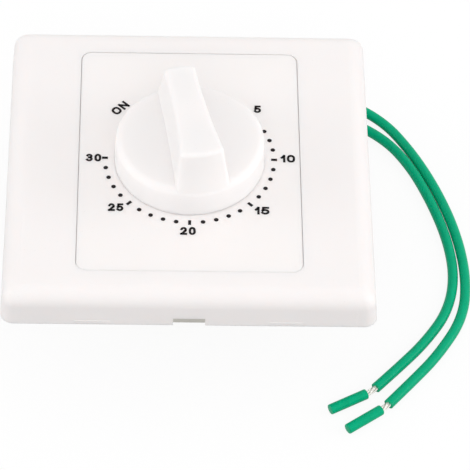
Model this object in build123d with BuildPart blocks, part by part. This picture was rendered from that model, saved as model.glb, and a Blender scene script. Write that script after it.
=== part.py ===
from build123d import *
import math
import os

# Wall timer light switch: a clockwork timer that hangs behind a square wall plate.
# The origin is the centre of the timer case's back. +Z points out of the wall, +Y at twelve o'clock.
# All lengths are millimetres and all angles degrees.
os.makedirs("parts", exist_ok=True)

# Cover frame
plate_end_margin = 8.5
plate_height = 9.0
plate_corner_radius = 5.0
plate_draft = 5.0
plate_edge_radius = 4.1
plate_wall = 2.0
rim_wall = 1.4
notch_width = 7.3
notch_height = 2.1
hook_width = 8.0
hook_reach = 1.1
hook_height = 1.2
hook_distance = 22.0
cover_gap = 0.3

# Mounting base: the flange behind the cover and the raised dial panel
panel_side_margin = 3.0
panel_end_margin = 13.0
panel_corner_radius = 2.5
panel_edge_radius = 0.4
panel_wall = 2.0
panel_seam = 0.06
seam_ledge_width = 0.5
seam_ledge_depth = 1.0
flange_thickness = 2.5
flange_corner_radius = 3.0
flange_rib_inset = 2.0
flange_rib_width = 1.2
flange_rib_height = 1.5
box_screw_spacing = 60.3
box_slot_width = 4.4
box_slot_length = 7.0
box_screw_head_radius = 4.8
pocket_wall = 1.5
trough_rib_width = 1.2
trough_rib_spacing = 14.0
trough_rib_setback = 1.0

# Timer case
case_corner_radius = 3.0
case_wall = 2.0
case_inner_radius = 1.0
case_edge_chamfer = 0.6
case_boss_radius = 2.3
case_lip_gap = 0.3

# Screws
timer_screw_spacing = 26.0
timer_screw_radius = 1.45
timer_screw_head_radius = 2.8
timer_screw_head_height = 1.6
timer_screw_recess = 1.2
timer_boss_radius = 4.0
case_screw_radius = 1.2
case_screw_head_radius = 2.0
case_screw_head_height = 1.3
case_screw_length = 7.0
screw_slot_width = 0.6
screw_slot_depth = 0.6
thread_gap = 0.02
screw_hole_gap = 0.25

# Movement plates and pillars
sheet_thickness = 1.2
panel_to_plate = 1.5
front_plate_gap = 0.2
rear_plate_gap = 0.5
pillar_radius = 1.5
pillar_tenon_radius = 1.0
pillar_side_inset = 3.4
pillar_boss_spacing = 4.4

# Main arbor, its bush and its collars
arbor_radius = 3.0
arbor_inner_radius = 2.0
arbor_flat = 2.2
arbor_top_setback = 3.2
arbor_tail = 1.2
collar_radius = 3.2
collar_height = 0.8
running_gap = 0.05
end_gap = 0.1
bush_radius = 4.2
bush_flange_radius = 5.5
bush_flange_height = 1.2
bush_stand = 1.6
panel_hole_gap = 0.3

# Knob
rest_turn = 11.0
on_turn = 45.0
full_turn = 270.0
knob_radius = 17.6
knob_skirt_draft = 0.2
knob_skirt_height = 7.1
knob_rim_round = 1.8
knob_dome = 0.5
knob_lift = 0.5
knob_height = 16.9
knob_wall = 1.6
knob_roof = 1.8
grip_end_setback = 0.3
grip_end_lean = 2.8
grip_pointer_half = 3.6
grip_tail_half = 5.2
grip_waist_half = 3.8
grip_foot_spread = 1.3
grip_foot_waist_fill = 0.5
grip_corner_radius = 1.4
grip_top_radius = 1.1
grip_sink = 1.0
hub_radius = 3.9
hub_lift = 0.8
clip_thickness = 0.3
clip_room = 0.55
clip_width = 2.4
clip_length = 7.0

# Wheels and pinions: the tables pair a height over the pitch line with half a tooth's thickness, in modules
main_teeth = 75
second_teeth = 60
escape_teeth = 30
leaf_count = 8
main_pitch_radius = 11.25
second_pitch_radius = 7.5
wheel_tooth_shares = ((-1.5, 0.95), (0, 0.66), (1.1, 0.28))
leaf_tooth_shares = ((-1.6, 0.35), (0, 0.5), (0.7, 0.3))
main_wheel_thickness = 1.2
second_wheel_thickness = 1.0
wheel_step = 0.6
pinion_overhang = 0.5
main_window_count = 5
main_rim_width = 2.05
second_window_count = 4
second_rim_width = 1.7
second_hub_width = 1.95
train_gap = 1.5
second_angle = -20.0
escape_angle = 256.4
balance_angle = 200.0
wheel_arbor_radius = 0.65
pivot_radius = 0.5
escape_radius = 3.8
escape_tooth_depth = 0.7
escape_hook_share = 0.35
escape_thickness = 0.8
escape_lift = 2.25
clutch_thickness = 0.4
clutch_radius = 4.6
clutch_lobe_radius = 1.3
balance_gap = 2.3
balance_hub_radius = 1.2
pallet_reach = 4.2
pallet_width = 0.9
pallet_spread = 58.0
balance_bar_half = 3.4
balance_bar_width = 1.4
balance_bar_step = 1.2

# Mainspring
spring_pitch = 1.45
spring_half_turns = 11
spring_thickness = 0.35
spring_width = 5.6
spring_lift = 0.45
spring_gap = 0.4
spring_lead = 3.6
spring_post_radius = 1.2
spring_post_lead = 2.4
spring_slot_gap = 0.1

# Switch: cam, stop, blades, contact points and insulator
cam_radius = 6.5
cam_thickness = 3.0
cam_drop = 2.8
cam_hub_radius = 3.4
cam_notch_depth = 1.3
cam_notch_half_width = 1.0
stop_lap = 0.9
stop_thickness = 1.5
stop_pin_radius = 1.0
stop_pin_gap = 0.2
stop_pin_angle = 270.0
stop_play = 1.0
blade_thickness = 0.3
blade_width = 4.0
blade_drop = 1.6
blade_rise = 1.05
blade_spacing = 2.8
blade_tip = 9.0
blade_follower_half = 3.0
blade_follower_nose = 0.6
follower_gap = 0.03
point_distance = 6.0
point_radius = 1.3
point_step_radius = 0.7
block_start = 6.8
block_margin = 1.0
block_depth = 8.3
block_length = 10.0
block_screw_radius = 0.9
block_screw_head_radius = 1.6
block_screw_head_height = 0.9
tab_width = 2.0
tab_reach = 3.3
tab_bend_radius = 0.8

# Leads, crimps and grommet
wire_diameter = 2.5
lead_spacing = 5.0
lead_centre = 11.0
lead_height = 5.6
lead_clearance = 1.2
lead_run = 1.85
crimp_length = 3.0
crimp_width = 3.2
crimp_height = 1.6
crimp_barrel_radius = 1.7
crimp_barrel_length = 2.6
crimp_setback = 0.6
grommet_wall = 1.2
grommet_flange = 0.7
grommet_flange_thickness = 0.8
wire_hole_gap = 0.05

# Stripped ends of the wires
strand_radius = 0.8
long_bare_gap = 2.5
short_bare_gap = 3.0
slug_length = 9.8
strand_setback = 0.4
long_slug_turn = -13.5
short_slug_turn = -18.5

# Levels along Z, from the leads up through the switch and the movement to the knob
block_z = lead_height + crimp_barrel_radius + lead_clearance
rear_plate_z = block_z + block_depth
rear_plate_top_z = rear_plate_z + sheet_thickness
main_wheel_z = rear_plate_top_z + end_gap + collar_height + running_gap
clutch_z = main_wheel_z + main_wheel_thickness + running_gap
upper_collar_z = clutch_z + clutch_thickness + running_gap
second_wheel_z = main_wheel_z + main_wheel_thickness + wheel_step
spring_z = second_wheel_z + second_wheel_thickness + spring_lift
escape_wheel_z = second_wheel_z + second_wheel_thickness + escape_lift
balance_bar_z = escape_wheel_z + escape_thickness + balance_bar_step
bush_z = spring_z + spring_width + spring_gap + collar_height + end_gap
front_plate_z = bush_z + bush_flange_height
front_plate_top_z = front_plate_z + sheet_thickness
movement_height = front_plate_z - rear_plate_top_z
panel_under_z = front_plate_top_z + panel_to_plate
face_z = panel_under_z + panel_wall
wall_z = face_z - plate_height
flange_top_z = wall_z + flange_thickness
cover_under_z = face_z - plate_wall
ledge_z = face_z - seam_ledge_depth
case_top_z = panel_under_z - case_lip_gap
cam_z = rear_plate_z - cam_drop - cam_thickness
stop_z = cam_z - stop_thickness
blade_z = rear_plate_z - blade_drop - blade_width
knob_z = face_z + knob_lift
rim_z = knob_z + knob_skirt_height
knob_top_z = face_z + knob_height
arbor_top_z = knob_top_z - arbor_top_setback

pointer_angle = 90 + rest_turn
pointer_plane = Plane.XY.rotated((0, 0, pointer_angle))
wire_radius = wire_diameter / 2


def polar(radius, angle):
    """Point at a radius and an angle from +X."""
    return (radius * math.cos(math.radians(angle)), radius * math.sin(math.radians(angle)))


def tooth_outline(teeth, module, tooth_shares, first_angle):
    """Corners of straight-flanked teeth round the origin, with one tooth centred on first_angle."""
    pitch_radius = module * teeth / 2
    flank = [(pitch_radius + rise * module, half * module) for rise, half in tooth_shares]
    points = []
    for tooth in range(teeth):
        centre = first_angle + 360 * tooth / teeth
        for radius, half in flank:
            points.append(polar(radius, centre - math.degrees(half / radius)))
        for radius, half in reversed(flank):
            points.append(polar(radius, centre + math.degrees(half / radius)))
    return points


# Centres of the wheel train
main_module = 2 * main_pitch_radius / main_teeth
second_module = 2 * second_pitch_radius / second_teeth
second_tip_radius = second_pitch_radius + wheel_tooth_shares[-1][0] * second_module
second_x, second_y = polar(main_pitch_radius + main_module * leaf_count / 2, second_angle)
escape_offset = polar(second_pitch_radius + second_module * leaf_count / 2, escape_angle)
escape_x = second_x + escape_offset[0]
escape_y = second_y + escape_offset[1]
balance_offset = polar(escape_radius + balance_gap, balance_angle)
balance_x = escape_x + balance_offset[0]
balance_y = escape_y + balance_offset[1]
train_places = ((second_x, second_y), (escape_x, escape_y), (balance_x, balance_y))

# Switch places along X and Y
moving_blade_y = cam_radius + blade_rise
fixed_blade_y = moving_blade_y + blade_spacing
long_lead_x = lead_centre - lead_spacing / 2
short_lead_x = lead_centre + lead_spacing / 2
stop_pin_distance = cam_radius + stop_pin_gap + stop_pin_radius
stop_radius = stop_pin_distance + stop_lap
stop_pin_x, stop_pin_y = polar(stop_pin_distance, stop_pin_angle)
block_end = block_start + block_length
block_front_y = moving_blade_y - block_margin
block_back_y = fixed_blade_y + blade_thickness + block_margin
block_screw_x = (long_lead_x + short_lead_x) / 2
block_screw_y = (moving_blade_y + fixed_blade_y + blade_thickness) / 2
crimp_offset = blade_thickness + tab_bend_radius + crimp_setback
crimp_reach = fixed_blade_y + crimp_offset + crimp_length + crimp_barrel_length

# Case, panel and plate: each follows from what it holds
case_inner_width = 2 * (second_x + second_tip_radius + train_gap)
case_inner_length = 2 * max(crimp_reach + lead_run, balance_bar_half + train_gap - balance_y)
case_width = case_inner_width + 2 * case_wall
case_length = case_inner_length + 2 * case_wall
panel_width = case_width + 2 * panel_side_margin
panel_length = case_length + 2 * panel_end_margin
plate_size = panel_length + 2 * plate_end_margin
opening_width = panel_width + 2 * panel_seam
opening_length = panel_length + 2 * panel_seam
opening_radius = panel_corner_radius + panel_seam
rebate_width = opening_width + 2 * seam_ledge_width
rebate_length = opening_length + 2 * seam_ledge_width
rebate_radius = opening_radius + seam_ledge_width
flange_size = plate_size - 2 * plate_wall - 2 * cover_gap
exit_y = case_length / 2 + grommet_flange_thickness
boss_x = case_inner_width / 2 - case_boss_radius
boss_y = case_inner_length / 2 - case_boss_radius
pillar_x = case_inner_width / 2 - pillar_side_inset
pillar_y = boss_y - pillar_boss_spacing
pillar_places = [(x, y) for x in (-pillar_x, pillar_x) for y in (-pillar_y, pillar_y)]
boss_places = [(x, y) for x in (-boss_x, boss_x) for y in (-boss_y, boss_y)]
timer_screw_places = [(-timer_screw_spacing / 2, 0), (timer_screw_spacing / 2, 0)]

# Spring end, where it passes through its post
spring_step = spring_pitch / 4
spring_inner = arbor_inner_radius + spring_step + thread_gap
spring_end_x = -spring_step - spring_inner - (spring_half_turns - 1) * spring_pitch / 2
spring_post_x = spring_end_x - spring_thickness / 2
spring_post_y = -spring_post_lead

# Cover frame: a drafted shell with soft front edges and a stepped window for the dial panel
with BuildPart() as cover_frame:
    with BuildSketch(Plane.XY.offset(wall_z)):
        RectangleRounded(plate_size, plate_size, plate_corner_radius)
    extrude(amount=plate_height, taper=plate_draft)
    fillet(cover_frame.faces().sort_by(Axis.Z)[-1].edges(), plate_edge_radius)
    with BuildSketch(Plane.XY.offset(wall_z)):
        inner_size = plate_size - 2 * plate_wall
        RectangleRounded(inner_size, inner_size, plate_corner_radius - plate_wall)
    extrude(amount=plate_height - plate_wall, taper=plate_draft, mode=Mode.SUBTRACT)
    roof = cover_frame.faces().filter_by(Axis.Z).sort_by(Axis.Z)[-2]
    fillet(roof.edges(), plate_edge_radius - plate_wall)
    with BuildSketch(Plane.XY.offset(flange_top_z)):
        RectangleRounded(rebate_width + 2 * rim_wall, rebate_length + 2 * rim_wall, rebate_radius + rim_wall)
    extrude(amount=cover_under_z - flange_top_z)
    with BuildSketch(Plane.XY.offset(flange_top_z)):
        RectangleRounded(rebate_width, rebate_length, rebate_radius)
    extrude(amount=ledge_z + panel_seam - flange_top_z, mode=Mode.SUBTRACT)
    with BuildSketch(Plane.XY.offset(flange_top_z)):
        RectangleRounded(opening_width, opening_length, opening_radius)
    extrude(amount=face_z - flange_top_z, mode=Mode.SUBTRACT)
    with BuildSketch(Plane.XY.offset(flange_top_z)):
        with Locations((-box_screw_spacing / 2, 0), (box_screw_spacing / 2, 0)):
            Circle(box_screw_head_radius)
    extrude(amount=cover_under_z - flange_top_z, mode=Mode.SUBTRACT)
    with BuildSketch(Plane.XY.offset(wall_z)):
        with Locations((0, -plate_size / 2)):
            Rectangle(notch_width, 3 * plate_wall)
    extrude(amount=notch_height, mode=Mode.SUBTRACT)
    for side in (-1, 1):
        hook_y = side * (plate_size / 2 - plate_wall / 2 - hook_reach / 2)
        with BuildSketch(Plane.XY.offset(wall_z)):
            with Locations((-hook_distance, hook_y), (hook_distance, hook_y)):
                Rectangle(hook_width, plate_wall + hook_reach)
        extrude(amount=hook_height)
cover_frame.part.label = "cover_frame"
export_step(cover_frame.part, "parts/cover_frame.step")

# Mounting base: one moulding of flange and ledged dial panel, hollow at the back for the timer case
with BuildPart() as mounting_base:
    with BuildSketch(Plane.XY.offset(wall_z)):
        RectangleRounded(flange_size, flange_size, flange_corner_radius)
    extrude(amount=flange_thickness)
    with BuildSketch(Plane.XY.offset(flange_top_z)):
        rib_size = flange_size - 2 * flange_rib_inset
        RectangleRounded(rib_size, rib_size, flange_corner_radius)
        rib_inner = rib_size - 2 * flange_rib_width
        RectangleRounded(rib_inner, rib_inner, flange_corner_radius - flange_rib_width, mode=Mode.SUBTRACT)
    extrude(amount=flange_rib_height)
    with BuildSketch(Plane.XY.offset(wall_z)):
        RectangleRounded(panel_width, panel_length, panel_corner_radius)
    extrude(amount=plate_height)
    fillet(mounting_base.faces().sort_by(Axis.Z)[-1].edges(), panel_edge_radius)
    with BuildSketch(Plane.XY.offset(wall_z)):
        RectangleRounded(
            panel_width + 2 * seam_ledge_width,
            panel_length + 2 * seam_ledge_width,
            panel_corner_radius + seam_ledge_width,
        )
    extrude(amount=ledge_z - wall_z)
    pocket_width = case_width + 2 * cover_gap
    pocket_length = case_length + 2 * cover_gap
    trough_width = panel_width - 2 * panel_wall
    trough_length = (panel_length - pocket_length) / 2 - panel_wall - pocket_wall
    trough_place = (panel_length - trough_length) / 2 - panel_wall
    with BuildSketch(Plane.XY.offset(wall_z)):
        RectangleRounded(pocket_width, pocket_length, case_corner_radius)
        with Locations((0, -trough_place), (0, trough_place)):
            RectangleRounded(trough_width, trough_length, case_inner_radius)
    extrude(amount=plate_height - panel_wall, mode=Mode.SUBTRACT)
    with BuildSketch(Plane.XY.offset(wall_z + trough_rib_setback)):
        with GridLocations(trough_rib_spacing, 2 * trough_place, 3, 2):
            Rectangle(trough_rib_width, trough_length + pocket_wall)
    extrude(amount=panel_under_z - wall_z - trough_rib_setback)
    with BuildSketch(Plane.XY.offset(front_plate_top_z)):
        with Locations(timer_screw_places):
            Circle(timer_boss_radius)
    extrude(amount=panel_to_plate)
    with Locations(Plane.XY.offset(face_z)):
        with Locations(timer_screw_places):
            CounterBoreHole(
                timer_screw_radius + screw_hole_gap,
                timer_screw_head_radius + screw_hole_gap,
                timer_screw_recess,
            )
        Hole(bush_radius + panel_hole_gap)
    with BuildSketch(Plane.XY.offset(wall_z)):
        with Locations((-box_screw_spacing / 2, 0), (box_screw_spacing / 2, 0)):
            SlotOverall(box_slot_length, box_slot_width)
    extrude(amount=flange_thickness, mode=Mode.SUBTRACT)
    for side in (-1, 1):
        pocket_depth = hook_reach + cover_gap
        with BuildSketch(Plane.XY.offset(wall_z)):
            with Locations((-hook_distance, side * flange_size / 2), (hook_distance, side * flange_size / 2)):
                Rectangle(hook_width + 2 * cover_gap, 2 * pocket_depth)
        extrude(amount=hook_height + cover_gap, mode=Mode.SUBTRACT)
mounting_base.part.label = "mounting_base"
export_step(mounting_base.part, "parts/mounting_base.step")

# Timer case: an open box with a screw boss in each corner and a slot for the grommet
grommet_height = wire_diameter + 2 * grommet_wall
lead_plane = Plane((lead_centre, case_length / 2, lead_height), x_dir=(1, 0, 0), z_dir=(0, 1, 0))
with BuildPart() as timer_case:
    with BuildSketch():
        RectangleRounded(case_width, case_length, case_corner_radius)
    extrude(amount=case_top_z)
    chamfer(timer_case.faces().sort_by(Axis.Z)[0].edges(), case_edge_chamfer)
    with BuildSketch(Plane.XY.offset(case_wall)):
        RectangleRounded(case_inner_width, case_inner_length, case_inner_radius)
    extrude(amount=case_top_z - case_wall, mode=Mode.SUBTRACT)
    with BuildSketch(Plane.XY.offset(case_wall)):
        with Locations(boss_places):
            Circle(case_boss_radius)
        for x, y in boss_places:
            with Locations((x + math.copysign(case_boss_radius / 2, x), y + math.copysign(case_boss_radius / 2, y))):
                Rectangle(case_boss_radius, case_boss_radius)
    extrude(amount=front_plate_z - case_wall)
    with BuildSketch(Plane.XY.offset(front_plate_z)):
        with Locations(boss_places):
            Circle(case_screw_radius + thread_gap)
    extrude(amount=-(case_screw_length + case_wall), mode=Mode.SUBTRACT)
    with BuildSketch(lead_plane):
        SlotCenterToCenter(lead_spacing, grommet_height + 2 * wire_hole_gap)
    extrude(amount=-case_wall, mode=Mode.SUBTRACT)
timer_case.part.label = "timer_case"
export_step(timer_case.part, "parts/timer_case.step")

# Front plate: closes the case and takes the two timer screws
with BuildPart() as front_plate:
    with BuildSketch(Plane.XY.offset(front_plate_z)):
        RectangleRounded(
            case_inner_width - 2 * front_plate_gap,
            case_inner_length - 2 * front_plate_gap,
            case_inner_radius,
        )
        Circle(bush_radius + thread_gap, mode=Mode.SUBTRACT)
        with Locations(timer_screw_places):
            Circle(timer_screw_radius + thread_gap, mode=Mode.SUBTRACT)
        with Locations(boss_places):
            Circle(case_screw_radius + screw_hole_gap, mode=Mode.SUBTRACT)
        with Locations(pillar_places):
            Circle(pillar_tenon_radius + thread_gap, mode=Mode.SUBTRACT)
        with Locations(train_places):
            Circle(pivot_radius + running_gap, mode=Mode.SUBTRACT)
        with Locations((spring_post_x, spring_post_y)):
            Circle(pivot_radius + thread_gap, mode=Mode.SUBTRACT)
    extrude(amount=sheet_thickness)
front_plate.part.label = "front_plate"
export_step(front_plate.part, "parts/front_plate.step")

# Rear plate: carries the lower pivots, the switch block and the stop pin
with BuildPart() as rear_plate:
    with BuildSketch(Plane.XY.offset(rear_plate_z)):
        rear_plate_width = case_inner_width - 2 * rear_plate_gap
        rear_plate_length = case_inner_length - 2 * rear_plate_gap
        Rectangle(rear_plate_width, rear_plate_length)
        with GridLocations(rear_plate_width, rear_plate_length, 2, 2):
            Rectangle(4 * case_boss_radius, 4 * case_boss_radius, mode=Mode.SUBTRACT)
        Circle(arbor_inner_radius + running_gap, mode=Mode.SUBTRACT)
        with Locations(pillar_places):
            Circle(pillar_tenon_radius + thread_gap, mode=Mode.SUBTRACT)
        with Locations(train_places):
            Circle(pivot_radius + running_gap, mode=Mode.SUBTRACT)
        with Locations((stop_pin_x, stop_pin_y)):
            Circle(stop_pin_radius + thread_gap, mode=Mode.SUBTRACT)
        with Locations((block_screw_x, block_screw_y)):
            Circle(block_screw_radius + thread_gap, mode=Mode.SUBTRACT)
    extrude(amount=sheet_thickness)
rear_plate.part.label = "rear_plate"
export_step(rear_plate.part, "parts/rear_plate.step")

# Pillars: shouldered posts riveted into both plates
with BuildPart() as pillars:
    with BuildSketch(Plane.XY.offset(rear_plate_top_z)):
        with Locations(pillar_places):
            Circle(pillar_radius)
    extrude(amount=movement_height)
    with BuildSketch(Plane.XY.offset(rear_plate_z)):
        with Locations(pillar_places):
            Circle(pillar_tenon_radius)
    extrude(amount=movement_height + 2 * sheet_thickness)
pillars.part.label = "pillars"
export_step(pillars.part, "parts/pillars.step")

# Spring post: hangs from the front plate, slotted for the end of the mainspring
with BuildPart() as spring_post:
    with BuildSketch(Plane((spring_post_x, spring_post_y, spring_z))):
        Circle(spring_post_radius)
    extrude(amount=front_plate_z - spring_z)
    with BuildSketch(Plane((spring_post_x, spring_post_y, front_plate_z))):
        Circle(pivot_radius)
    extrude(amount=sheet_thickness)
    with BuildSketch(Plane((spring_post_x, spring_post_y, spring_z))):
        Rectangle(spring_thickness + 2 * spring_slot_gap, 3 * spring_post_radius)
    extrude(amount=spring_width + spring_slot_gap, mode=Mode.SUBTRACT)
spring_post.part.label = "spring_post"
export_step(spring_post.part, "parts/spring_post.step")

# Stop pin: limits the cam's travel at ON and at the longest time
with BuildPart() as stop_pin:
    with BuildSketch(Plane((stop_pin_x, stop_pin_y, stop_z))):
        Circle(stop_pin_radius)
    extrude(amount=rear_plate_top_z - stop_z)
stop_pin.part.label = "stop_pin"
export_step(stop_pin.part, "parts/stop_pin.step")

# Arbor bush: a flanged bearing pressed into the front plate
with BuildPart() as arbor_bush:
    with BuildSketch(Plane.XY.offset(bush_z)):
        Circle(bush_flange_radius)
    extrude(amount=bush_flange_height)
    with BuildSketch(Plane.XY.offset(front_plate_z)):
        Circle(bush_radius)
    extrude(amount=face_z - bush_stand / 4 - front_plate_z)
    with BuildSketch(Plane.XY.offset(bush_z)):
        Circle(arbor_radius + running_gap)
    extrude(amount=face_z - bush_z, mode=Mode.SUBTRACT)
arbor_bush.part.label = "arbor_bush"
export_step(arbor_bush.part, "parts/arbor_bush.step")

# Main arbor: turned steel with two collars round the clutch and a flat for the knob
with BuildPart() as main_arbor:
    with BuildSketch(Plane.XY.offset(stop_z - arbor_tail)):
        Circle(arbor_inner_radius)
    extrude(amount=bush_z - collar_height - stop_z + arbor_tail)
    with BuildSketch(Plane.XY.offset(rear_plate_top_z + end_gap)):
        Circle(collar_radius)
    extrude(amount=collar_height)
    with BuildSketch(Plane.XY.offset(upper_collar_z)):
        Circle(collar_radius)
    extrude(amount=collar_height)
    with BuildSketch(Plane.XY.offset(bush_z - end_gap - collar_height)):
        Circle(collar_radius + collar_height)
    extrude(amount=collar_height)
    with BuildSketch(Plane.XY.offset(bush_z - end_gap)):
        Circle(arbor_radius)
    extrude(amount=arbor_top_z - bush_z + end_gap)
    with BuildSketch(pointer_plane.offset(knob_z)):
        with Locations((arbor_radius + arbor_flat, 0)):
            Rectangle(2 * arbor_radius, 3 * arbor_radius)
    extrude(amount=knob_height, mode=Mode.SUBTRACT)
main_arbor.part.label = "main_arbor"
export_step(main_arbor.part, "parts/main_arbor.step")


def grip_outline(half_length, spread, waist_fill=0):
    """Outline of the finger grip: waisted sides, wider at the tail, with ends round the knob's axis."""
    pointer_half = grip_pointer_half + spread
    tail_half = grip_tail_half + spread
    waist_half = grip_waist_half + spread + waist_fill
    pointer_x = math.sqrt(half_length**2 - pointer_half**2)
    tail_x = math.sqrt(half_length**2 - tail_half**2)
    with BuildSketch() as outline:
        with BuildLine():
            ThreePointArc((-tail_x, -tail_half), (0, -waist_half), (pointer_x, -pointer_half))
            ThreePointArc((pointer_x, -pointer_half), (half_length, 0), (pointer_x, pointer_half))
            ThreePointArc((pointer_x, pointer_half), (0, waist_half), (-tail_x, tail_half))
            ThreePointArc((-tail_x, tail_half), (-half_length, 0), (-tail_x, -tail_half))
        make_face()
    return outline.sketch


# Knob: a domed disc with a waisted finger grip across it, hollow below, on a tube for the arbor
knob_rim_radius = knob_radius - knob_skirt_draft
knob_top_radius = knob_rim_radius - knob_rim_round
grip_foot_half_length = knob_rim_radius - grip_end_setback
grip_half_length = grip_foot_half_length - grip_end_lean
grip_foot_z = rim_z - grip_sink
with BuildPart() as knob:
    with BuildSketch(pointer_plane.offset(grip_foot_z)):
        add(grip_outline(grip_foot_half_length, grip_foot_spread, grip_foot_waist_fill))
    with BuildSketch(pointer_plane.offset(knob_top_z)):
        add(grip_outline(grip_half_length, 0))
    loft(ruled=True)
    corner_edges = [
        edge
        for edge in knob.edges()
        if abs(edge.position_at(0).Z - edge.position_at(1).Z) > grip_sink
    ]
    fillet(corner_edges, grip_corner_radius)
    fillet(knob.faces().sort_by(Axis.Z)[-1].edges(), grip_top_radius)
    with BuildSketch(Plane.XZ):
        with BuildLine():
            skirt = Line((knob_radius, knob_z), (knob_rim_radius, rim_z - knob_rim_round))
            rim = TangentArc(skirt @ 1, (knob_top_radius, rim_z), tangent=skirt % 1)
            ThreePointArc(
                rim @ 1,
                (knob_top_radius / 2, rim_z + 3 * knob_dome / 4),
                (0, rim_z + knob_dome),
            )
            Polyline((0, rim_z + knob_dome), (0, knob_z), (knob_radius, knob_z))
        make_face()
    revolve(axis=Axis.Z)
    inner_radius = knob_radius - knob_wall
    inner_roof_radius = knob_top_radius - knob_wall
    inner_roof_z = rim_z - knob_roof
    with BuildSketch(Plane.XZ):
        with BuildLine():
            Polyline((0, knob_z), (inner_radius, knob_z), (inner_radius, inner_roof_z - knob_rim_round))
            Line((inner_radius, inner_roof_z - knob_rim_round), (inner_roof_radius, inner_roof_z))
            ThreePointArc(
                (inner_roof_radius, inner_roof_z),
                (inner_roof_radius / 2, inner_roof_z + 3 * knob_dome / 4),
                (0, inner_roof_z + knob_dome),
            )
            Line((0, inner_roof_z + knob_dome), (0, knob_z))
        make_face()
    revolve(axis=Axis.Z, mode=Mode.SUBTRACT)
    with BuildSketch(pointer_plane.offset(inner_roof_z)):
        add(grip_outline(grip_foot_half_length - grip_end_lean, grip_foot_spread - knob_wall))
    with BuildSketch(pointer_plane.offset(knob_top_z - knob_roof)):
        add(grip_outline(grip_half_length - knob_wall, -knob_wall))
    loft(ruled=True, mode=Mode.SUBTRACT)
    with BuildSketch(pointer_plane.offset(knob_z + hub_lift)):
        Circle(hub_radius)
    extrude(amount=knob_top_z - knob_roof - knob_z - hub_lift)
    with BuildSketch(pointer_plane.offset(knob_z + hub_lift)):
        Circle(arbor_radius + thread_gap)
        with Locations((2 * arbor_radius + arbor_flat + clip_room, 0)):
            Rectangle(4 * arbor_radius, 3 * arbor_radius, mode=Mode.SUBTRACT)
    extrude(amount=arbor_top_z + thread_gap - knob_z - hub_lift, mode=Mode.SUBTRACT)
knob.part.label = "knob"
export_step(knob.part, "parts/knob.step")

# Knob clip: a bowed leaf spring between the arbor's flat and the hub
clip_plane = Plane((0, 0, 0), x_dir=pointer_plane.x_dir, z_dir=pointer_plane.y_dir)
clip_z = knob_z + hub_lift + clip_width
clip_bow = clip_room - clip_thickness - 2 * thread_gap
with BuildPart() as knob_clip:
    with BuildSketch(clip_plane):
        with BuildLine():
            near = arbor_flat + thread_gap
            low = (near, -clip_z)
            high = (near, -clip_z - clip_length)
            back_low = (near + clip_thickness, -clip_z)
            back_high = (near + clip_thickness, -clip_z - clip_length)
            middle = -clip_z - clip_length / 2
            ThreePointArc(low, (near + clip_bow, middle), high)
            Line(high, back_high)
            ThreePointArc(back_high, (near + clip_thickness + clip_bow, middle), back_low)
            Line(back_low, low)
        make_face()
    extrude(amount=clip_width / 2, both=True)
knob_clip.part.label = "knob_clip"
export_step(knob_clip.part, "parts/knob_clip.step")

# Main wheel: turns with the arbor through the clutch
main_window_outer = main_pitch_radius - main_rim_width
main_window_radius = (main_window_outer - clutch_radius) / 2
with BuildPart() as main_wheel:
    with BuildSketch(Plane.XY.offset(main_wheel_z)):
        with BuildLine():
            Polyline(*tooth_outline(main_teeth, main_module, wheel_tooth_shares, second_angle), close=True)
        make_face()
        Circle(arbor_inner_radius + running_gap, mode=Mode.SUBTRACT)
        with PolarLocations(main_window_outer - main_window_radius, main_window_count):
            Circle(main_window_radius, mode=Mode.SUBTRACT)
    extrude(amount=main_wheel_thickness)
main_wheel.part.label = "main_wheel"
export_step(main_wheel.part, "parts/main_wheel.step")

# Clutch washer: a three-lobed spring washer that drags the main wheel
with BuildPart() as clutch_washer:
    with BuildSketch(Plane.XY.offset(clutch_z)):
        Circle(collar_radius)
        with PolarLocations(clutch_radius - clutch_lobe_radius, 3):
            Circle(clutch_lobe_radius)
        Circle(arbor_inner_radius + thread_gap, mode=Mode.SUBTRACT)
    extrude(amount=clutch_thickness)
clutch_washer.part.label = "clutch_washer"
export_step(clutch_washer.part, "parts/clutch_washer.step")


def pinion_part(place, leaf_z, leaf_length, module, first_angle):
    """Leaves cut on an arbor that runs between the plates, with a pivot at each end."""
    with BuildPart() as pinion:
        with BuildSketch(Plane((place[0], place[1], leaf_z))):
            with BuildLine():
                Polyline(*tooth_outline(leaf_count, module, leaf_tooth_shares, first_angle), close=True)
            make_face()
        extrude(amount=leaf_length)
        with BuildSketch(Plane((place[0], place[1], rear_plate_top_z + end_gap))):
            Circle(wheel_arbor_radius)
        extrude(amount=movement_height - 2 * end_gap)
        with BuildSketch(Plane((place[0], place[1], rear_plate_z + end_gap))):
            Circle(pivot_radius)
        extrude(amount=movement_height + 2 * sheet_thickness - 2 * end_gap)
    return pinion.part


leaf_gap_turn = 180 + 180 / leaf_count
second_leaf_z = main_wheel_z - pinion_overhang
second_leaf_length = main_wheel_thickness + 2 * pinion_overhang
second_pinion = pinion_part(
    (second_x, second_y), second_leaf_z, second_leaf_length, main_module, second_angle + leaf_gap_turn
)
second_pinion.label = "second_pinion"
export_step(second_pinion, "parts/second_pinion.step")

# Second wheel: pressed on its pinion's arbor
second_window_inner = wheel_arbor_radius + second_hub_width
second_window_radius = (second_pitch_radius - second_rim_width - second_window_inner) / 2
with BuildPart() as second_wheel:
    with BuildSketch(Plane((second_x, second_y, second_wheel_z))):
        with BuildLine():
            Polyline(*tooth_outline(second_teeth, second_module, wheel_tooth_shares, escape_angle), close=True)
        make_face()
        Circle(wheel_arbor_radius + thread_gap, mode=Mode.SUBTRACT)
        with PolarLocations(second_window_inner + second_window_radius, second_window_count):
            Circle(second_window_radius, mode=Mode.SUBTRACT)
    extrude(amount=second_wheel_thickness)
second_wheel.part.label = "second_wheel"
export_step(second_wheel.part, "parts/second_wheel.step")

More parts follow.
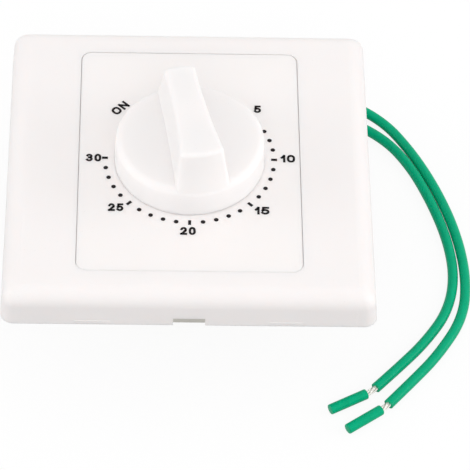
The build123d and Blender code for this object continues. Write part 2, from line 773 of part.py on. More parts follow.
escape_leaf_z = second_wheel_z - pinion_overhang
escape_leaf_length = second_wheel_thickness + 2 * pinion_overhang
escape_pinion = pinion_part(
    (escape_x, escape_y), escape_leaf_z, escape_leaf_length, second_module, escape_angle + leaf_gap_turn
)
escape_pinion.label = "escape_pinion"
export_step(escape_pinion, "parts/escape_pinion.step")

# Escape wheel: ratchet-shaped teeth
with BuildPart() as escape_wheel:
    with BuildSketch(Plane((escape_x, escape_y, escape_wheel_z))):
        with BuildLine():
            pitch_angle = 360 / escape_teeth
            escape_root_radius = escape_radius - escape_tooth_depth
            escape_points = []
            for tooth in range(escape_teeth):
                escape_points.append(polar(escape_root_radius, tooth * pitch_angle))
                escape_points.append(polar(escape_radius, (tooth + escape_hook_share) * pitch_angle))
            Polyline(*escape_points, close=True)
        make_face()
        Circle(wheel_arbor_radius + thread_gap, mode=Mode.SUBTRACT)
    extrude(amount=escape_thickness)
escape_wheel.part.label = "escape_wheel"
export_step(escape_wheel.part, "parts/escape_wheel.step")

# Balance staff and lever: an anchor of two pallets under a weighted bar
with BuildPart() as balance_staff:
    with BuildSketch(Plane((balance_x, balance_y, rear_plate_top_z + end_gap))):
        Circle(wheel_arbor_radius)
    extrude(amount=movement_height - 2 * end_gap)
    with BuildSketch(Plane((balance_x, balance_y, rear_plate_z + end_gap))):
        Circle(pivot_radius)
    extrude(amount=movement_height + 2 * sheet_thickness - 2 * end_gap)
balance_staff.part.label = "balance_staff"
export_step(balance_staff.part, "parts/balance_staff.step")

anchor_plane = Plane((balance_x, balance_y, escape_wheel_z)).rotated((0, 0, balance_angle + 180))
with BuildPart() as balance_lever:
    with BuildSketch(anchor_plane):
        Circle(balance_hub_radius)
        for side in (-1, 1):
            with Locations(Location((0, 0), side * pallet_spread)):
                Rectangle(pallet_reach, pallet_width, align=(Align.MIN, Align.CENTER))
    extrude(amount=escape_thickness)
    with BuildSketch(anchor_plane):
        Circle(balance_hub_radius)
    extrude(amount=balance_bar_z - escape_wheel_z + escape_thickness)
    with BuildSketch(anchor_plane.offset(balance_bar_z - escape_wheel_z)):
        SlotOverall(2 * balance_bar_half, balance_bar_width, rotation=90)
    extrude(amount=escape_thickness)
    with BuildSketch(anchor_plane):
        Circle(wheel_arbor_radius + thread_gap)
    extrude(amount=balance_bar_z - escape_wheel_z + escape_thickness, mode=Mode.SUBTRACT)
balance_lever.part.label = "balance_lever"
export_step(balance_lever.part, "parts/balance_lever.step")

# Mainspring: a spiral strip of half circles whose centres step from side to side
with BuildPart() as mainspring:
    with BuildSketch(Plane.XY.offset(spring_z)):
        with BuildLine():
            for face_radius in (spring_inner, spring_inner + spring_thickness):
                for turn in range(spring_half_turns):
                    start_angle = 180 * (turn % 2)
                    centre_x = spring_step if turn % 2 else -spring_step
                    CenterArc((centre_x, 0), face_radius + turn * spring_pitch / 2, start_angle, 180)
            inner_start = -spring_step + spring_inner
            Line((inner_start, 0), (inner_start + spring_thickness, 0))
            Polyline(
                (spring_end_x, 0),
                (spring_end_x, -spring_lead),
                (spring_end_x - spring_thickness, -spring_lead),
                (spring_end_x - spring_thickness, 0),
            )
        make_face()
    extrude(amount=spring_width)
mainspring.part.label = "mainspring"
export_step(mainspring.part, "parts/mainspring.step")

# Switch cam: a notched disc with a stop sector under it
stop_pin_half_angle = math.degrees(math.asin(stop_pin_radius / stop_pin_distance))
travel = on_turn + full_turn
stop_half_angle = (360 - travel) / 2 - stop_pin_half_angle - stop_play
stop_angle = stop_pin_angle - (360 - travel) / 2 - (on_turn - rest_turn)
with BuildPart() as switch_cam:
    with BuildSketch(pointer_plane.offset(cam_z)):
        Circle(cam_radius)
        with BuildLine():
            Polyline(
                (cam_radius + cam_notch_depth, 2 * cam_notch_half_width),
                (cam_radius - cam_notch_depth, 0),
                (cam_radius + cam_notch_depth, -2 * cam_notch_half_width),
                close=True,
            )
        make_face(mode=Mode.SUBTRACT)
    extrude(amount=cam_thickness)
    with BuildSketch(Plane.XY.offset(stop_z)):
        Circle(cam_hub_radius)
        with BuildLine():
            CenterArc((0, 0), stop_radius, stop_angle - stop_half_angle, 2 * stop_half_angle)
            Polyline(
                polar(stop_radius, stop_angle + stop_half_angle),
                (0, 0),
                polar(stop_radius, stop_angle - stop_half_angle),
            )
        make_face()
    extrude(amount=stop_thickness)
    with BuildSketch(Plane.XY.offset(stop_z)):
        Circle(arbor_inner_radius + thread_gap)
    extrude(amount=cam_thickness + stop_thickness, mode=Mode.SUBTRACT)
switch_cam.part.label = "switch_cam"
export_step(switch_cam.part, "parts/switch_cam.step")


def tail_outline(blade_y):
    """Side view of a blade's tail: down from the block, then bent along +Y at the height of the leads."""
    near_y = blade_y
    far_y = blade_y + blade_thickness
    bend_y = far_y + tab_bend_radius
    end_y = bend_y + tab_reach
    low_z = lead_height - blade_thickness / 2
    high_z = low_z + blade_thickness
    bend_z = high_z + tab_bend_radius
    top_z = blade_z + blade_width / 2
    with BuildSketch() as outline:
        with BuildLine():
            Polyline((far_y, bend_z), (far_y, top_z), (near_y, top_z), (near_y, bend_z))
            CenterArc((bend_y, bend_z), tab_bend_radius + blade_thickness, 180, 90)
            Polyline((bend_y, low_z), (end_y, low_z), (end_y, high_z), (bend_y, high_z))
            CenterArc((bend_y, bend_z), tab_bend_radius, 180, 90)
        make_face()
    return outline.sketch


# Fixed blade: a straight brass strip with its tail bent into a tab
with BuildPart() as fixed_blade:
    with BuildSketch(Plane.XY.offset(blade_z)):
        with Locations((-blade_tip, fixed_blade_y)):
            Rectangle(block_end + blade_tip - block_margin / 2, blade_thickness, align=(Align.MIN, Align.MIN))
    extrude(amount=blade_width)
    with BuildSketch(Plane((short_lead_x, 0, 0), x_dir=(0, 1, 0), z_dir=(1, 0, 0))):
        add(tail_outline(fixed_blade_y))
    extrude(amount=tab_width / 2, both=True)
    with BuildSketch(Plane((-point_distance, fixed_blade_y, blade_z + blade_width / 2), z_dir=(0, 1, 0))):
        Circle(point_step_radius + thread_gap)
    extrude(amount=blade_thickness, mode=Mode.SUBTRACT)
fixed_blade.part.label = "fixed_blade"
export_step(fixed_blade.part, "parts/fixed_blade.step")

# Moving blade: a leaf spring with a nose that rides on the cam
with BuildPart() as moving_blade:
    with BuildSketch(Plane.XY.offset(blade_z)):
        with BuildLine():
            nose = cam_radius + follower_gap
            lower = [
                (block_end - block_margin, moving_blade_y),
                (blade_follower_half, moving_blade_y),
                (blade_follower_nose, nose),
                (-blade_follower_nose, nose),
                (-blade_follower_half, moving_blade_y),
                (-blade_tip, moving_blade_y),
            ]
            upper = [(x, y + blade_thickness) for x, y in reversed(lower)]
            Polyline(*lower, *upper, close=True)
        make_face()
    extrude(amount=blade_width)
    with BuildSketch(Plane((long_lead_x, 0, 0), x_dir=(0, 1, 0), z_dir=(1, 0, 0))):
        add(tail_outline(moving_blade_y))
    extrude(amount=tab_width / 2, both=True)
    with BuildSketch(Plane((-point_distance, moving_blade_y, blade_z + blade_width / 2), z_dir=(0, 1, 0))):
        Circle(point_step_radius + thread_gap)
    extrude(amount=blade_thickness, mode=Mode.SUBTRACT)
moving_blade.part.label = "moving_blade"
export_step(moving_blade.part, "parts/moving_blade.step")

# Contact points: silver rivets that meet half way between the blades
point_middle_y = (moving_blade_y + blade_thickness + fixed_blade_y) / 2
point_z = blade_z + blade_width / 2
with BuildPart() as moving_point:
    with BuildSketch(Plane((-point_distance, moving_blade_y + blade_thickness, point_z), z_dir=(0, 1, 0))):
        Circle(point_radius)
    extrude(amount=point_middle_y - moving_blade_y - blade_thickness)
    with BuildSketch(Plane((-point_distance, moving_blade_y, point_z), z_dir=(0, 1, 0))):
        Circle(point_step_radius)
    extrude(amount=blade_thickness)
moving_point.part.label = "moving_point"
export_step(moving_point.part, "parts/moving_point.step")

with BuildPart() as fixed_point:
    with BuildSketch(Plane((-point_distance, point_middle_y, point_z), z_dir=(0, 1, 0))):
        Circle(point_radius)
    extrude(amount=fixed_blade_y - point_middle_y)
    with BuildSketch(Plane((-point_distance, fixed_blade_y, point_z), z_dir=(0, 1, 0))):
        Circle(point_step_radius)
    extrude(amount=blade_thickness)
fixed_point.part.label = "fixed_point"
export_step(fixed_point.part, "parts/fixed_point.step")

# Insulator block: holds both blades under the rear plate
with BuildPart() as insulator_block:
    with BuildSketch(Plane.XY.offset(block_z)):
        with Locations((block_start, block_front_y)):
            Rectangle(block_length, block_back_y - block_front_y, align=(Align.MIN, Align.MIN))
    extrude(amount=block_depth)
    chamfer(insulator_block.edges().filter_by(Axis.Z), blade_thickness)
    for lead_x, blade_y in ((long_lead_x, moving_blade_y), (short_lead_x, fixed_blade_y)):
        with BuildSketch(Plane.XY.offset(blade_z)):
            with Locations((block_start, blade_y)):
                Rectangle(block_length - block_margin / 2, blade_thickness, align=(Align.MIN, Align.MIN))
        extrude(amount=blade_width, mode=Mode.SUBTRACT)
        with BuildSketch(Plane.XY.offset(block_z)):
            with Locations((lead_x, blade_y)):
                Rectangle(tab_width, blade_thickness, align=(Align.CENTER, Align.MIN))
        extrude(amount=blade_z - block_z, mode=Mode.SUBTRACT)
    with BuildSketch(Plane((block_screw_x, block_screw_y, block_z))):
        Circle(block_screw_radius + thread_gap)
    extrude(amount=block_depth, mode=Mode.SUBTRACT)
insulator_block.part.label = "insulator_block"
export_step(insulator_block.part, "parts/insulator_block.step")

# Block screw: fastens the insulator to the rear plate
with BuildPart() as block_screw:
    with BuildSketch(Plane((block_screw_x, block_screw_y, block_z))):
        Circle(block_screw_radius)
    extrude(amount=block_depth + sheet_thickness)
    with BuildSketch(Plane((block_screw_x, block_screw_y, block_z))):
        Circle(block_screw_head_radius)
    extrude(amount=-block_screw_head_height)
block_screw.part.label = "block_screw"
export_step(block_screw.part, "parts/block_screw.step")

# Crimp terminals: pushed on the blades' tabs, with a barrel round each lead
crimp_ends = []
with BuildPart() as crimp_terminals:
    for lead_x, blade_y in ((long_lead_x, moving_blade_y), (short_lead_x, fixed_blade_y)):
        crimp_y = blade_y + crimp_offset
        crimp_ends.append((lead_x, crimp_y + crimp_length + crimp_barrel_length))
        with BuildSketch(Plane((lead_x, crimp_y, lead_height), x_dir=(1, 0, 0), z_dir=(0, 1, 0))):
            RectangleRounded(crimp_width, crimp_height, crimp_height / 4)
            Rectangle(tab_width + 2 * thread_gap, blade_thickness + 2 * thread_gap, mode=Mode.SUBTRACT)
        extrude(amount=crimp_length)
        barrel_y = crimp_y + crimp_length
        with BuildSketch(Plane((lead_x, barrel_y, lead_height), x_dir=(1, 0, 0), z_dir=(0, 1, 0))):
            Circle(crimp_barrel_radius)
            Circle(wire_radius + thread_gap, mode=Mode.SUBTRACT)
        extrude(amount=crimp_barrel_length)
crimp_terminals.part.label = "crimp_terminals"
export_step(crimp_terminals.part, "parts/crimp_terminals.step")

# Inner leads: the insulated wires from the crimps to the grommet's outer face
with BuildPart() as inner_leads:
    for lead_x, crimp_end in crimp_ends:
        lead_start = crimp_end - crimp_barrel_length + crimp_setback
        with BuildSketch(Plane((lead_x, lead_start, lead_height), x_dir=(1, 0, 0), z_dir=(0, 1, 0))):
            Circle(wire_radius)
        extrude(amount=exit_y - lead_start)
inner_leads.part.label = "inner_leads"
export_step(inner_leads.part, "parts/inner_leads.step")

# Wire grommet: an oval bush with a flange on each side of the case wall
with BuildPart() as wire_grommet:
    with BuildSketch(lead_plane.offset(grommet_flange_thickness)):
        SlotCenterToCenter(lead_spacing, grommet_height + 2 * grommet_flange)
    extrude(amount=-grommet_flange_thickness)
    with BuildSketch(lead_plane):
        SlotCenterToCenter(lead_spacing, grommet_height)
    extrude(amount=-case_wall)
    with BuildSketch(lead_plane.offset(-case_wall)):
        SlotCenterToCenter(lead_spacing, grommet_height + 2 * grommet_flange)
    extrude(amount=-grommet_flange_thickness)
    with BuildSketch(lead_plane.offset(grommet_flange_thickness)):
        with GridLocations(lead_spacing, 0, 2, 1):
            Circle(wire_radius + wire_hole_gap)
    extrude(amount=-(case_wall + 2 * grommet_flange_thickness), mode=Mode.SUBTRACT)
wire_grommet.part.label = "wire_grommet"
export_step(wire_grommet.part, "parts/wire_grommet.step")


def screw_part(places, head_z, head_radius, head_height, shank_radius, shank_length):
    """Slotted screws: a shank below head_z and a rounded head above it."""
    with BuildPart() as screws:
        with BuildSketch(Plane.XY.offset(head_z)):
            with Locations(places):
                Circle(head_radius)
        extrude(amount=head_height)
        fillet(screws.edges().group_by(Axis.Z)[-1], head_height / 4)
        with BuildSketch(Plane.XY.offset(head_z)):
            with Locations(places):
                Circle(shank_radius)
        extrude(amount=-shank_length)
        with BuildSketch(Plane.XY.offset(head_z + head_height)):
            with Locations(places):
                Rectangle(3 * head_radius, screw_slot_width)
        extrude(amount=-screw_slot_depth, mode=Mode.SUBTRACT)
    return screws.part


# Timer screws: through the panel into the front plate, hidden by the knob
timer_screws = screw_part(
    timer_screw_places,
    face_z - timer_screw_recess,
    timer_screw_head_radius,
    timer_screw_head_height,
    timer_screw_radius,
    face_z - timer_screw_recess - front_plate_z,
)
timer_screws.label = "timer_screws"
export_step(timer_screws, "parts/timer_screws.step")

# Case screws: through the front plate into the case's bosses
case_screws = screw_part(
    boss_places,
    front_plate_top_z,
    case_screw_head_radius,
    case_screw_head_height,
    case_screw_radius,
    case_screw_length,
)
case_screws.label = "case_screws"
export_step(case_screws, "parts/case_screws.step")

# Wire routes: points chosen by hand, first straight out of the grommet, then down on to the table
table_z = wire_radius
long_route = [
    (long_lead_x, exit_y, lead_height),
    (8.5, 31.5, 5.6),
    (12.2, 42.3, 2.3),
    (22.2, 50.8, table_z),
    (36.3, 53.0, table_z),
    (49.1, 45.1, table_z),
    (56.5, 33.5, table_z),
    (62.1, 20.6, table_z),
    (66.2, 6.7, table_z),
    (68.0, -7.2, table_z),
    (66.2, -19.6, table_z),
    (59.6, -31.1, table_z),
    (52.9, -39.3, table_z),
    (47.1, -46.0, table_z),
]
short_route = [
    (short_lead_x, exit_y, lead_height),
    (13.5, 30.4, 5.6),
    (17.2, 39.4, 2.3),
    (26.8, 45.6, table_z),
    (39.0, 45.5, table_z),
    (49.3, 38.8, table_z),
    (55.3, 29.0, table_z),
    (59.9, 17.3, table_z),
    (63.3, 4.7, table_z),
    (64.7, -7.2, table_z),
    (62.3, -17.7, table_z),
    (56.4, -27.1, table_z),
    (50.3, -34.7, table_z),
    (44.3, -41.2, table_z),
]


def route_radii(points):
    """Radius at each corner: 0.45 of the shorter run over the tangent of half the turn."""
    radii = []
    for before, corner, after in zip(points, points[1:], points[2:]):
        run_in = Vector(*corner) - Vector(*before)
        run_out = Vector(*after) - Vector(*corner)
        half_turn = math.radians(run_in.get_angle(run_out)) / 2
        radii.append(0.45 * min(run_in.length, run_out.length) / math.tan(half_turn))
    return radii


def stripped_end(route, bare_gap, slug_turn):
    """Places of the bare gap's corner and of the slug's two ends, past the end of a route."""
    end = Vector(*route[-1])
    along = (end - Vector(*route[-2])).normalized()
    turned = along.rotate(Axis.Z, slug_turn)
    corner = end + along * (bare_gap / 2)
    slug_start = corner + turned * (bare_gap / 2)
    return end, corner, slug_start, slug_start + turned * slug_length, turned


# Wires with their bare strands and the slugs of insulation left on the ends
for name, route, bare_gap, slug_turn in (
    ("long_wire", long_route, long_bare_gap, long_slug_turn),
    ("short_wire", short_route, short_bare_gap, short_slug_turn),
):
    corner_radii = route_radii(route)
    with BuildPart() as wire:
        with BuildLine():
            wire_path = FilletPolyline(*route, radius=corner_radii)
        with BuildSketch(Plane(wire_path @ 0, z_dir=wire_path % 0)):
            Circle(wire_radius)
        sweep(path=wire_path)
    wire.part.label = name
    export_step(wire.part, "parts/" + name + ".step")
    tube_volume = math.pi * wire_radius**2 * wire_path.length
    print(name, "length", round(wire_path.length, 1), "least radius", round(min(corner_radii), 1))
    print(name, "radii", [round(radius, 1) for radius in corner_radii])
    print(name, "volume over section times length", round(wire.part.volume / tube_volume, 4))

    end, corner, slug_start, slug_end, turned = stripped_end(route, bare_gap, slug_turn)
    strand_end = slug_end - turned * strand_setback
    with BuildPart() as strands:
        with BuildLine():
            strand_path = FilletPolyline(
                end, corner, strand_end, radius=route_radii([tuple(end), tuple(corner), tuple(strand_end)])
            )
        with BuildSketch(Plane(strand_path @ 0, z_dir=strand_path % 0)):
            Circle(strand_radius)
        sweep(path=strand_path)
    strands.part.label = name + "_strands"
    export_step(strands.part, "parts/" + name + "_strands.step")

    with BuildPart() as slug:
        with BuildSketch(Plane(slug_start, z_dir=turned)):
            Circle(wire_radius)
            Circle(strand_radius + thread_gap, mode=Mode.SUBTRACT)
        extrude(amount=slug_length)
    slug.part.label = name + "_slug"
    export_step(slug.part, "parts/" + name + "_slug.step")
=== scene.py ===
# %% [markdown]
# # A clockwork timer switch
#
# The object is a square white wall plate with a minute dial and a bar knob. A closed case behind
# the plate holds the clockwork, and two short green leads come out of it. The solid pieces come
# from the frame, at their real size. This lesson gives them their finishes, prints the dial on
# the panel, and lays the two leads on the table as smooth curves.

# %% The frame
import math

import bpy
import numpy as np
from mathutils import Matrix, Vector


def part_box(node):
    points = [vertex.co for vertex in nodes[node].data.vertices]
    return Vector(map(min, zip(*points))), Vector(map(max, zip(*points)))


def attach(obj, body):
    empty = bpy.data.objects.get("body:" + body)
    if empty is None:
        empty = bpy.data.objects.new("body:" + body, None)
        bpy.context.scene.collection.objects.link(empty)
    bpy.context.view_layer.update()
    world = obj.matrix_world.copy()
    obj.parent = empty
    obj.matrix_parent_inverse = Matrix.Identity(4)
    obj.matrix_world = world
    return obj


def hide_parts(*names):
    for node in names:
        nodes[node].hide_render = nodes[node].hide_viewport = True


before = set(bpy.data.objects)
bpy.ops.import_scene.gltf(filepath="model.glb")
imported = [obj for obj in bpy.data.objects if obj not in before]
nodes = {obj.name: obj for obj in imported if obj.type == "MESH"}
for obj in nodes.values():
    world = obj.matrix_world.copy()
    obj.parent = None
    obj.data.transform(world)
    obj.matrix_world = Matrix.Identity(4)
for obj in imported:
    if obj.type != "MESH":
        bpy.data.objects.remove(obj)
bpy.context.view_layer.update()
mm = 0.001

# %% [markdown]
# ## Levels
#
# The switch lies on its back, so heights count from the table up. The plate's back is where the
# wall's face would be, and the print and the knob's foot are placed from the panel's face. The
# levels could be typed, but read from the boxes of the nodes they stay right whatever the frame
# holds.

# %% Levels that the pieces share
wall_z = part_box("cover_frame")[0].z
face_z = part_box("mounting_base")[1].z
knob_low_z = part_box("knob")[0].z
print("wall, panel face, knob foot in mm:", [round(z / mm, 2) for z in (wall_z, face_z, knob_low_z)])

# %% [markdown]
# ## The camera
#
# The camera looks down on the switch from a little left of six o'clock. The lens is long, so the
# plate's edges almost stay parallel. A camera could be aimed by a constraint, but a place and three
# angles say more exactly what is seen: its back points away from the switch, and its right is the
# level direction turned by the roll.

# %% The camera
camera_azimuth = math.radians(-2.594)
camera_elevation = math.radians(49.17)
camera_roll = math.radians(2.631)
camera_place = Vector((-10.22 * mm, -479.02 * mm, wall_z + 536.76 * mm))
picture_pixels = 470
focal_pixels = 3036.4
sensor_width = 36.0
nearest_seen = 10 * mm
farthest_seen = 20

away = Vector((
    math.sin(camera_azimuth) * math.cos(camera_elevation),
    -math.cos(camera_azimuth) * math.cos(camera_elevation),
    math.sin(camera_elevation),
))
level_right = Vector((math.cos(camera_azimuth), math.sin(camera_azimuth), 0))
level_up = away.cross(level_right)
right = level_right * math.cos(camera_roll) + level_up * math.sin(camera_roll)
up = away.cross(right)

camera_data = bpy.data.cameras.new("camera")
camera_data.sensor_width = sensor_width
camera_data.lens = sensor_width * (focal_pixels / picture_pixels)
camera_data.clip_start = nearest_seen
camera_data.clip_end = farthest_seen
camera = bpy.data.objects.new("camera", camera_data)
camera.matrix_world = Matrix((
    (right.x, up.x, away.x, camera_place.x),
    (right.y, up.y, away.y, camera_place.y),
    (right.z, up.z, away.z, camera_place.z),
    (0, 0, 0, 1),
))
bpy.context.scene.collection.objects.link(camera)
bpy.context.scene.camera = camera
print("lens", round(camera_data.lens, 1), "mm")

# %% [markdown]
# ## Arithmetic for materials
#
# A material is a small program: patterns go in, a colour, a roughness and a bump come out. Wiring
# each step by hand hides the formula, so two small classes let it be written as one. A `Signal`
# stands for a socket, and adding or multiplying signals adds the Math nodes. A `Finish` is one
# material, with one method that adds any node.


# %% Signals
class Signal:
    """One output socket. A sum or a product that starts with it adds a Math node to its finish."""

    def __init__(self, finish, socket):
        self.finish = finish
        self.socket = socket

    def __add__(self, other):
        return self.finish.maths("ADD", self, other)

    def __mul__(self, other):
        return self.finish.maths("MULTIPLY", self, other)


# %% Finishes
class Finish:
    """A material with one Principled shader, whose steady values are set on its own sockets."""

    def __init__(self, name, **steady):
        self.material = bpy.data.materials.new(name)
        self.material.use_nodes = True
        self.tree = self.material.node_tree
        self.shader = self.tree.nodes["Principled BSDF"]
        for socket, value in steady.items():
            self.shader.inputs[socket.replace("_", " ")].default_value = value

    def node(self, kind, settings, sockets, output=0):
        """Adds a node: its settings first, then the values or links of its sockets."""
        made = self.tree.nodes.new(kind)
        for setting, value in settings.items():
            setattr(made, setting, value)
        for socket, value in sockets.items():
            if isinstance(value, Signal):
                self.tree.links.new(value.socket, made.inputs[socket])
            else:
                made.inputs[socket].default_value = value
        return Signal(self, made.outputs[output])

    def feed(self, socket, signal):
        """Links a signal to a socket of the shader."""
        self.tree.links.new(signal.socket, self.shader.inputs[socket])

    def maths(self, operation, first, second):
        """One Math node on two signals or numbers."""
        return self.node("ShaderNodeMath", {"operation": operation}, {0: first, 1: second})

    def place(self, stretch=(1, 1, 1), centre=(0, 0, 0)):
        """Object coordinates, moved so that centre is the origin, then stretched."""
        coordinates = self.node("ShaderNodeTexCoord", {}, {}, "Object")
        moved = self.node(
            "ShaderNodeMapping",
            {"vector_type": "TEXTURE"},
            {"Vector": coordinates, "Location": centre},
        )
        return self.node("ShaderNodeVectorMath", {"operation": "MULTIPLY"}, {0: moved, 1: stretch})

    def noise(self, size, place=None, detail=2.0, roughness=0.5):
        """A cloudy pattern from 0 to 1 whose features are about one size across."""
        where = place or self.place()
        return self.node(
            "ShaderNodeTexNoise",
            {},
            {"Vector": where, "Scale": 1 / size, "Detail": detail, "Roughness": roughness},
            "Fac",
        )

    def specks(self, size, share):
        """A mask of small spots: cells of one size whose centre is nearer than a share of it."""
        sockets = {"Vector": self.place(), "Scale": 1 / size}
        near = self.node("ShaderNodeTexVoronoi", {}, sockets, "Distance")
        return self.maths("LESS_THAN", near, share)

    def between(self, signal, low, high):
        """A signal from 0 to 1 read as a value from low to high."""
        return signal * (high - low) + low

    def blend(self, share, first, second):
        """A colour part of the way from the first to the second."""
        sockets = {0: share, 6: self.opaque(first), 7: self.opaque(second)}
        return self.node("ShaderNodeMix", {"data_type": "RGBA"}, sockets, 2)

    def opaque(self, colour):
        """A colour as a socket takes it: a signal as it is, numbers with an alpha of 1."""
        return colour if isinstance(colour, Signal) else (*colour, 1)

    def bump(self, height, depth):
        """Feeds the normal with a height from 0 to 1 that is depth metres tall."""
        sockets = {"Height": height, "Distance": depth, "Strength": 1.0}
        self.feed("Normal", self.node("ShaderNodeBump", {}, sockets))

    def seen_directly(self):
        """1 for what the camera sees, straight, mirrored or through glass, and 0 for soft light."""
        camera_ray, mirrored, through = (
            self.node("ShaderNodeLightPath", {}, {}, kind)
            for kind in ("Is Camera Ray", "Is Glossy Ray", "Is Transmission Ray")
        )
        return self.maths("MAXIMUM", self.maths("MAXIMUM", camera_ray, mirrored), through)


# %% Dressing a node
def dress(finish, *names):
    """Gives nodes a finish in place of the plain one that they came with."""
    for name in names:
        nodes[name].data.materials.clear()
        nodes[name].data.materials.append(finish.material)
    print(finish.material.name, "on", ", ".join(names))


# %% [markdown]
# ## White mouldings
#
# The cover, the dial panel and the knob are injection moulded in white plastic. Such a surface is
# never quite even: the gloss drifts where the melt cooled, a fine orange peel breaks up highlights
# and a little dust settles. All of that is a few percent, and more would look like dirt. Light also
# goes a millimetre or two into such plastic and comes out beside, which softens creases and seams.
# A plain white would do from afar, but close up it looks like paper, so each moulding has them all.

# %% White mouldings
cloud_size = 14 * mm
peel_size = 0.9 * mm
dust_cell = 1.9 * mm
dust_share = 0.045
dust_colour = (0.52, 0.5, 0.47)
dust_strength = 0.25
dust_roughness = 0.2
roughness_drift = 0.05
glow_reach = (1.0, 0.9, 0.85)


def moulded_white(name, tints, roughness, peel_depth, glow_depth):
    """White plastic: two close tints mixed by soft clouds, a drifting gloss and an orange peel."""
    finish = Finish(
        name,
        IOR=1.49,
        Specular_IOR_Level=0.35,
        Subsurface_Weight=0.6,
        Subsurface_Scale=glow_depth,
        Subsurface_Radius=glow_reach,
    )
    clouds = finish.noise(cloud_size, detail=3)
    peel = finish.noise(peel_size, detail=2)
    dust = finish.specks(dust_cell, dust_share)
    tint = finish.blend(finish.between(clouds, 0.1, 0.9), *tints)
    drifting = finish.between(clouds, roughness - roughness_drift, roughness + roughness_drift)
    finish.feed("Base Color", finish.blend(dust * dust_strength, tint, dust_colour))
    finish.feed("Roughness", drifting + dust * dust_roughness)
    finish.bump(peel, peel_depth)
    return finish


cover_white = moulded_white(
    "cover_white",
    tints=((0.91, 0.873, 0.865), (0.89, 0.853, 0.845)),
    roughness=0.48,
    peel_depth=0.006 * mm,
    glow_depth=1.3 * mm,
)
panel_white = moulded_white(
    "panel_white",
    tints=((0.915, 0.879, 0.868), (0.898, 0.861, 0.85)),
    roughness=0.48,
    peel_depth=0.005 * mm,
    glow_depth=1.6 * mm,
)
knob_white = moulded_white(
    "knob_white",
    tints=((0.918, 0.882, 0.873), (0.902, 0.865, 0.856)),
    roughness=0.46,
    peel_depth=0.004 * mm,
    glow_depth=2.6 * mm,
)
dress(panel_white, "mounting_base")

# %% [markdown]
# ## Copies that stand for a solid
#
# The cover and the knob each need one small change that their solids leave out. A solid from the
# frame is never altered, so a copy stands in its place. The solid's mesh is loose triangles: its
# points are welded first, and its own normals are kept, because they hold its smooth rounds.

# %% A welded copy, and how it takes a node's place
weld_distance = 0.0005 * mm


def loose_triangles(source):
    """Places, triangles and corner normals of a mesh, with points at the same place welded and
    triangles that lose a corner by it left out."""
    places = np.empty(3 * len(source.vertices))
    source.vertices.foreach_get("co", places)
    index = np.empty(len(source.loops), dtype=np.int32)
    source.loops.foreach_get("vertex_index", index)
    normals = np.empty(3 * len(source.loops))
    source.corner_normals.foreach_get("vector", normals)
    steps = np.round(places.reshape(-1, 3) / weld_distance).astype(np.int64)
    _, first, welded = np.unique(steps, axis=0, return_index=True, return_inverse=True)
    triangles = welded.ravel()[index].reshape(-1, 3)
    normals = normals.reshape(-1, 3, 3)
    whole = (triangles != np.roll(triangles, 1, 1)).all(1)
    return places.reshape(-1, 3)[first], triangles[whole], normals[whole]


def stand_in(name, node, body, finish, shape):
    """A mesh of places, triangles and corner normals, in a node's place and on its body."""
    places, triangles, normals = shape
    mesh = bpy.data.meshes.new(name)
    mesh.from_pydata(places.tolist(), [], triangles.tolist())
    mesh.shade_smooth()
    mesh.normals_split_custom_set(normals.reshape(-1, 3).tolist())
    mesh.materials.append(finish.material)
    piece = bpy.data.objects.new(name, mesh)
    bpy.context.scene.collection.objects.link(piece)
    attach(piece, body)
    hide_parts(node)
    print(name + ":", len(places), "points,", len(triangles), "triangles")


# %% [markdown]
# ## The cover's corners
#
# The cover's solid has rounder corners than the real cover. The shape is right everywhere else, so
# only its corner squares are pushed out, to the tighter outline. A new cover made here would have
# to repeat the pry notch, the window and the hooks. The same rule turns the normals, so that the
# light runs round the corner as it should.

# %% The cover with tighter corners
solid_corner = 5.0 * mm
seen_corner = 3.0 * mm
plate_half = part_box("cover_frame")[1].x


def tightened(flat):
    """In each corner square of the plate, seen from the centre of the old corner's round, a point
    at distance r moves out to r (1 + (f - 1) r / old), where f times old is the distance from
    there to the new outline in the same direction: a straight edge at first, then the new round."""
    local = np.abs(flat) - (plate_half - solid_corner)
    inside = (local > 0).all(1)
    u, v = np.where(inside[:, None], local, 1.0).T
    reach = np.hypot(u, v)
    along, across = np.maximum(u, v) / reach, np.minimum(u, v) / reach
    step = solid_corner - seen_corner
    both = step * (along + across)
    to_round = both + np.sqrt(both**2 - 2 * step**2 + seen_corner**2)
    to_edge = solid_corner / along
    outline = np.where(across * solid_corner <= step * along, to_edge, to_round)
    growth = 1 + (outline / solid_corner - 1) * reach / solid_corner
    moved = np.sign(flat) * (local * growth[:, None] + plate_half - solid_corner)
    return np.where(inside[:, None], moved, flat)


def turned_normals(flat, normals):
    """Normals carried through the same rule: by the inverse transpose of its slope at each point."""
    nudge = 0.001 * mm
    by_x = (tightened(flat + (nudge, 0)) - tightened(flat - (nudge, 0))) / (2 * nudge)
    by_y = (tightened(flat + (0, nudge)) - tightened(flat - (0, nudge))) / (2 * nudge)
    spread = by_x[:, 0] * by_y[:, 1] - by_x[:, 1] * by_y[:, 0]
    new_x = (by_y[:, 1] * normals[:, 0] - by_x[:, 1] * normals[:, 1]) / spread
    new_y = (by_x[:, 0] * normals[:, 1] - by_y[:, 0] * normals[:, 0]) / spread
    turned = np.column_stack([new_x, new_y, normals[:, 2]])
    return turned / np.linalg.norm(turned, axis=1, keepdims=True)


places, triangles, normals = loose_triangles(nodes["cover_frame"].data)
turned = turned_normals(places[triangles.ravel(), :2], normals.reshape(-1, 3))
places[:, :2] = tightened(places[:, :2])
cover_shape = (places, triangles, turned)
stand_in("cover_moulding", "cover_frame", "housing", cover_white, cover_shape)

